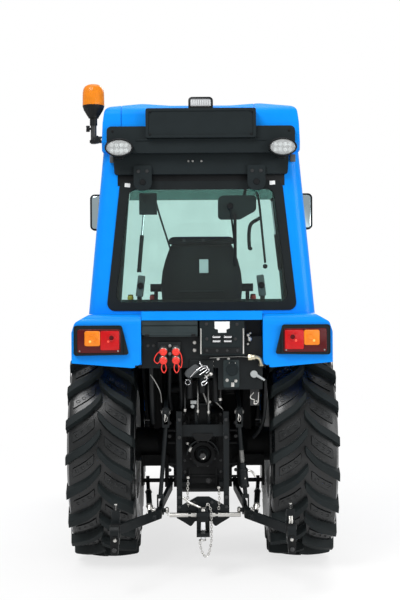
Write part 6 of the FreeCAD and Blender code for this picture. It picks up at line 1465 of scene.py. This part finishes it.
# ---- wheels -----------------------------------------------------------------------------------
def wheel_fittings(name, side, face, hub, nuts, ring, nut, cap, stem):
    """Nuts round the disc, a cap over the hub and the tube's stem; face is the x of the disc's outer side."""
    a, b = box(name.replace("wheel", "rim"))
    y, z = (a.y + b.y) / 2, (a.z + b.z) / 2
    out = X * side
    made = Piece(name + "_fittings", "bright_steel", name).use(STEEL)
    for k in range(nuts):
        angle = 2 * math.pi * (k + 0.5) / nuts
        spot = Vector((face, y + ring * math.cos(angle), z + ring * math.sin(angle)))
        made.lathe(solid((nut * 1.7, 0), (nut * 1.7, 2.2), (nut * 1.15, 4)), spot, out, 24, False)
        made.lathe(solid((nut, 3), (nut, 15), (nut * 0.82, 17.5)), spot, out, 6, False)
        made.lathe(solid((nut * 0.5, 17), (nut * 0.5, 24), (nut * 0.38, 25.5)), spot, out, 16)
    made.use(CAST).lathe(solid((hub + 10, 0), (hub + 10, 8), (hub + 4, 12), (hub, 16), (hub, cap - 12),
                               (hub - 4, cap - 4), (hub * 0.62, cap)), (face, y, z), out, 56)
    made.use(DARK_FITTING)
    for k in range(6):
        angle = math.pi * k / 3
        made.bolt((face + side * (cap - 0.5), y + hub * 0.66 * math.cos(angle),
                   z + hub * 0.66 * math.sin(angle)), out, 5.5, 5)
    made.use(SEAL)
    foot = Vector((face, y + stem * 0.5, z - stem * 0.866))
    made.pipe([foot + out * 30, foot + out * 50 + Vector((0, -4, 6)), foot + out * 66 + Vector((0, -12, 20))],
              lambda t: 6.2 - 2.2 * t, 12)
    made.done()


for side, name in SIDES:
    wheel_fittings("rear_wheel_" + name, side, face=side * 462.2, hub=58, nuts=8, ring=94, nut=12.5, cap=46,
                   stem=205)
    wheel_fittings("front_wheel_" + name, side, face=side * 522.2, hub=42, nuts=6, ring=62.5, nut=9.5, cap=52,
                   stem=118)


# ---- mirrors, headlights and doors ------------------------------------------------------------
def mirror_glass():
    """Pale glass set into the rear face of each mirror, a clamp on its arm behind it."""
    a, b = box("mirrors")
    made = Piece("mirror_glass", "black_plastic")
    outer, inner = b.x, b.x - 114
    face = b.y - 30
    for side in (LEFT, RIGHT):
        def outline(gap, inner_radius, outer_radius):
            line = rounded([(inner + gap, a.z + gap, inner_radius), (inner + gap, b.z - gap, inner_radius),
                            (outer - gap, b.z - gap, outer_radius),
                            (outer - gap, a.z + gap, outer_radius)], 5)
            return [(side * u, v) for u, v in line]

        made.use(PLASTIC).plate(outline(7, 14, 22), face - 3, face + 0.5, "y", 1.2)
        made.use(MIRROR).plate(outline(12, 11, 18), face - 4, face - 2.6, "y", 0.5)
        clamp = Vector((side * (inner + 57), face - 10.5, b.z - 25))
        made.use(PLASTIC).lathe(solid((15, 0), (16.5, 3), (16.5, 16), (14.5, 19)),
                                clamp - X * (side * 26), X * side, 24)
        made.use(DARK_FITTING).bolt(clamp - X * (side * 18) - Y * 16, -Y, 5, 4)
    made.done()


mirror_glass()


def headlights():
    """Two reflector bowls behind a clear pane on each side of the grille."""
    a, b = box("headlights")
    made = Piece("headlight_bowls", "lamp_glass", "hood_body", ("headlights",))
    lens_piece = Piece("headlight_lenses", "lamp_glass", made.body).use(CLEAR_LENS)
    inner, outer = 88, b.x
    for side in (LEFT, RIGHT):
        def line(gap, radius):
            points = rounded([(inner + gap, a.z + gap, radius), (inner + gap, b.z - gap, radius),
                              (outer - gap, b.z - gap, radius), (outer - gap, a.z + gap, radius)], 5)
            return [(side * u, v) for u, v in points]

        made.use(PLASTIC).plate(line(0.5, 10), a.y, a.y + 6, "y", 1)
        outside, inside = line(0.5, 10), line(4, 7)
        for ring, y0, y1 in ((outside, a.y + 4, b.y - 1), (inside, b.y - 1, a.y + 4)):
            made.grid([[Vector((u, y, v)) for u, v in ring] for y in (y0, y1)], ends=False, smooth=False)
        made.grid([[Vector((u, b.y - 1, v)) for u, v in ring] for ring in (outside, inside)], ends=False,
                  smooth=False)
        made.use(LAMP_TRAY).plate(line(3, 8), a.y + 5, a.y + 7, "y", 0)
        for centre in (inner + 25, outer - 25):
            made.use(CHROME)
            cup = [(6.5, 0), (9, 0.8), (14, 4), (18, 9), (20, 12.5), (20.8, 12.5),
                   (18.5, 8.5), (14, 3), (9, 0), (6.5, -0.6)]
            made.lathe(cup, (side * centre, a.y + 7.2, (a.z + b.z) / 2), Y, 36)
            made.use(LAMP_WHITE).lathe([(0, 0), (4.5, 0), (5, 6), (3, 10), (0, 11)],
                                       (side * centre, a.y + 7, (a.z + b.z) / 2), Y, 20)
        lens_piece.plate(line(3.5, 8), b.y - 3.5, b.y - 1.2, "y", 0.8)
    made.done()
    lens_piece.done()


headlights()


def grille_screen():
    """The black dust screen close behind the grille, leaning as it does."""
    a, b = box("grille")
    lean = (b.y - a.y - 18) / (b.z - a.z)
    made = Piece("grille_screen", "black_plastic", "hood_body").use(PLASTIC)
    rows = []
    for x in (a.x + 4, b.x - 4):
        rows.append([Vector((x, b.y - 18 - gap - lean * (z - a.z), z))
                     for gap, z in ((4, a.z + 4), (4, b.z - 4), (10, b.z - 4), (10, a.z + 4))])
    made.grid(rows, smooth=False)
    made.done()


grille_screen()


SILL_HEIGHT = 1330
SILL_WIDTH = 583
CAB_LEAN = 0.09639


def cab_side(z):
    """Half width of the cab's skin at a height: upright, then leaning in above the sill."""
    return SILL_WIDTH - CAB_LEAN * max(0, z - SILL_HEIGHT)


def door_seals():
    """A black rubber bead inside the gap round each door, standing on the cab's frame."""
    line = rounded([(-654.5, 2108.5, 40), (-654.5, 1341.5, 30), (-542.5, 1341.5, 40), (-164.5, 1060.2, 60),
                    (-42.5, 804.2, 60), (-40.5, 711.5, 40), (118.5, 711.5, 30), (118.5, 1340, 200),
                    (44.5, 2108.5, 60)], 6)
    count = len(line)
    for side, name in SIDES:
        made = Piece("door_seal_" + name, "rubber_seal").use(SEAL)
        rows = []
        for k in range(count + 1):
            back, here, ahead = (line[(k + d) % count] for d in (-1, 0, 1))
            along = Vector((0, ahead[0] - back[0], ahead[1] - back[1])).normalized()
            over = along.cross(X)
            spot = Vector((side * (cab_side(here[1]) - 45.5), here[0], here[1]))
            turns = [math.pi * j / 5 for j in range(10)]
            rows.append([spot + over * (10.5 * math.cos(t)) + X * (8.5 * math.sin(t)) for t in turns])
        made.grid(rows, ends=False)
        made.done()
        body = "door_" + name + "_body"
        handle = Piece("door_handle_" + name, "black_plastic", body).use(PLASTIC)
        y, z, skin = 89, 1212, cab_side(1200)
        plate = rounded([(y - 17, z - 75, 8), (y - 17, z + 90, 8), (y + 17, z + 90, 8),
                         (y + 17, z - 75, 8)], 5)
        first, last = sorted((side * (skin - 0.5), side * (skin + 5)))
        handle.plate(plate, first, last, "x", 1.8)
        handle.use(STEEL).lathe(solid((8.5, 0), (8.5, 2), (7, 3), (7, 6), (6, 7.2)),
                                (side * (skin + 5), y, z + 68), X * side, 24)
        handle.done()


door_seals()


# ---- engine bay, axle and steps ---------------------------------------------------------------
def front_details():
    """Tread and bolts of the steps, filler cap and straps of the tank, bolts of the front axle."""
    made = Piece("chassis_fittings", "cast_dark")
    a, b = box("steps")
    for side in (LEFT, RIGHT):
        made.use(DARK_FITTING)
        for k in range(7):
            y = a.y + 20 + k * 20
            made.block((side * 520 - 70, y - 3.5, a.z + 11), (side * 520 + 70, y + 3.5, a.z + 16.5), 1.5)
        for y in (a.y + 6, b.y - 6):
            made.bolt((side * 462.5, y, b.z - 40), X * side, 6.5, 5)
    a, b = box("fuel_tank")
    cap = Vector((a.x + 62, b.y - 90, b.z - 4))
    made.use(PLASTIC).lathe(solid((34, 0), (34, 12), (30, 14), (38.5, 16), (40, 19), (40, 30), (36, 34)),
                            cap, Z, 40)
    for k in range(12):
        angle = math.pi * k / 6
        out = Vector((math.cos(angle), math.sin(angle), 0))
        made.pipe([cap + out * 40 + Z * 19, cap + out * 40 + Z * 30], 2.8, 8)
    for y in (a.y + 100, b.y - 170):
        made.use(PLASTIC).block((a.x - 3, y - 14, a.z - 3), (a.x + 1, y + 14, b.z - 20), 1)
        made.use(STEEL).bolt((a.x - 3, y, b.z - 50), -X, 6, 5)
    a, b = box("front_axle")
    made.use(DARK_FITTING)
    for x in (-52, 52):
        for z in (-36, 36):
            made.bolt(((a.x + b.x) / 2 + x, b.y + 0.5, (a.z + b.z) / 2 + z), Y, 9, 7)
    made.done()


front_details()


def steering_boss():
    """Centre boss of the steering wheel, with a blank cap."""
    a, b = box("steering_wheel")
    centre = (a + b) / 2
    tilt = math.radians(40)
    out = Vector((0, -math.cos(tilt), math.sin(tilt)))
    made = Piece("steering_wheel_boss", "black_plastic", "steering_wheel_body").use(PLASTIC)
    made.lathe([(0, 0), (40, 0), (46, 4), (46, 12), (40, 18), (20, 21), (0, 21.5)], centre + out * 4, out, 40)
    made.use(CHARCOAL).lathe([(0, 0), (26, 0), (27.5, 1), (26, 2), (0, 2.5)], centre + out * 24.5, out, 36)
    made.done()


steering_boss()


# ---- light and ground -------------------------------------------------------------------------
DAYLIGHT = 0.50
MIRRORED_DAYLIGHT = 0.55
FLOOR_REACH = 3e4
FLOOR_DROP = 0.001


def shown_level(tree, add, light, mirror):
    """1 for rays from the camera and through glass, mirror for reflections and light for all the others."""
    path = add("LightPath")
    level = ramp(tree, path.outputs["Is Glossy Ray"], light, mirror, 0.0, 1.0)
    for ray in ("Is Camera Ray", "Is Transmission Ray"):
        pick = tree.nodes.new("ShaderNodeMix")
        tree.links.new(path.outputs[ray], pick.inputs[0])
        tree.links.new(level, pick.inputs[2])
        pick.inputs[3].default_value = 1.0
        level = pick.outputs[0]
    return level


def pale_floor():
    made, tree, output, add = node_material("pale_floor")
    place = add("TexCoord").outputs["Object"]
    away = add("VectorMath")
    away.operation = "LENGTH"
    tree.links.new(place, away.inputs[0])
    fade = ramp(tree, away.outputs["Value"], 0.72, 1.0, 1.0, 4.0)
    cloud = add("TexNoise", Vector=place, Scale=3.0).outputs[0]
    matt = add("BsdfDiffuse", Color=blend_color(tree, cloud, (0.86, 0.86, 0.86), (0.90, 0.90, 0.90)))
    white = add("Emission", Color=(1, 1, 1, 1), Strength=1.0)
    share = add("Math", Value=fade)
    share.operation = "MULTIPLY"
    tree.links.new(shown_level(tree, add, 0.0, 0.25), share.inputs[1])
    mix = add("MixShader")
    tree.links.new(share.outputs[0], mix.inputs[0])
    tree.links.new(matt.outputs[0], mix.inputs[1])
    tree.links.new(white.outputs[0], mix.inputs[2])
    tree.links.new(mix.outputs[0], output.inputs["Surface"])
    return made


floor = Piece("floor").use(pale_floor())
floor.face(
    floor.points([(u * FLOOR_REACH, v * FLOOR_REACH, 0) for u, v in ((-1, -1), (1, -1), (1, 1), (-1, 1))]))
floor_data = bpy.data.meshes.new("floor")
floor.mesh.to_mesh(floor_data)
floor_data.materials.append(floor.materials[0])
ground = bpy.data.objects.new("floor", floor_data)
scene.collection.objects.link(ground)
ground.location.z = -FLOOR_DROP

world = bpy.data.worlds.new("studio")
scene.world = world
world.use_nodes = True
sky = world.node_tree
sky.nodes.clear()
sky_add = adder(sky)
backdrop = sky_add("Background", Color=(1, 1, 1, 1),
                   Strength=shown_level(sky, sky_add, DAYLIGHT, MIRRORED_DAYLIGHT))
sky.links.new(backdrop.outputs[0], sky_add("OutputWorld").inputs["Surface"])


def lamp(name, place, aim, size, power):
    data = bpy.data.lights.new(name, "AREA")
    data.shape = "RECTANGLE"
    data.size, data.size_y = size
    data.energy = power
    made = bpy.data.objects.new(name, data)
    scene.collection.objects.link(made)
    made.location = place
    made.rotation_euler = (Vector(aim) - Vector(place)).to_track_quat("-Z", "Y").to_euler()


lamp("key", (-2.9, -5.6, 6.7), (0, 0, 1.0), size=(3.0, 3.0), power=370)
lamp("fill", (4.5, -5.0, 2.2), (0, 0, 1.0), size=(3.5, 3.0), power=160)
lamp("front_key", (3.0, 5.8, 6.7), (0, 0, 1.0), size=(3.5, 3.5), power=330)
lamp("top", (0, 0, 6.5), (0, 0, 0), size=(4.0, 5.0), power=110)

scene.view_settings.view_transform = "Standard"
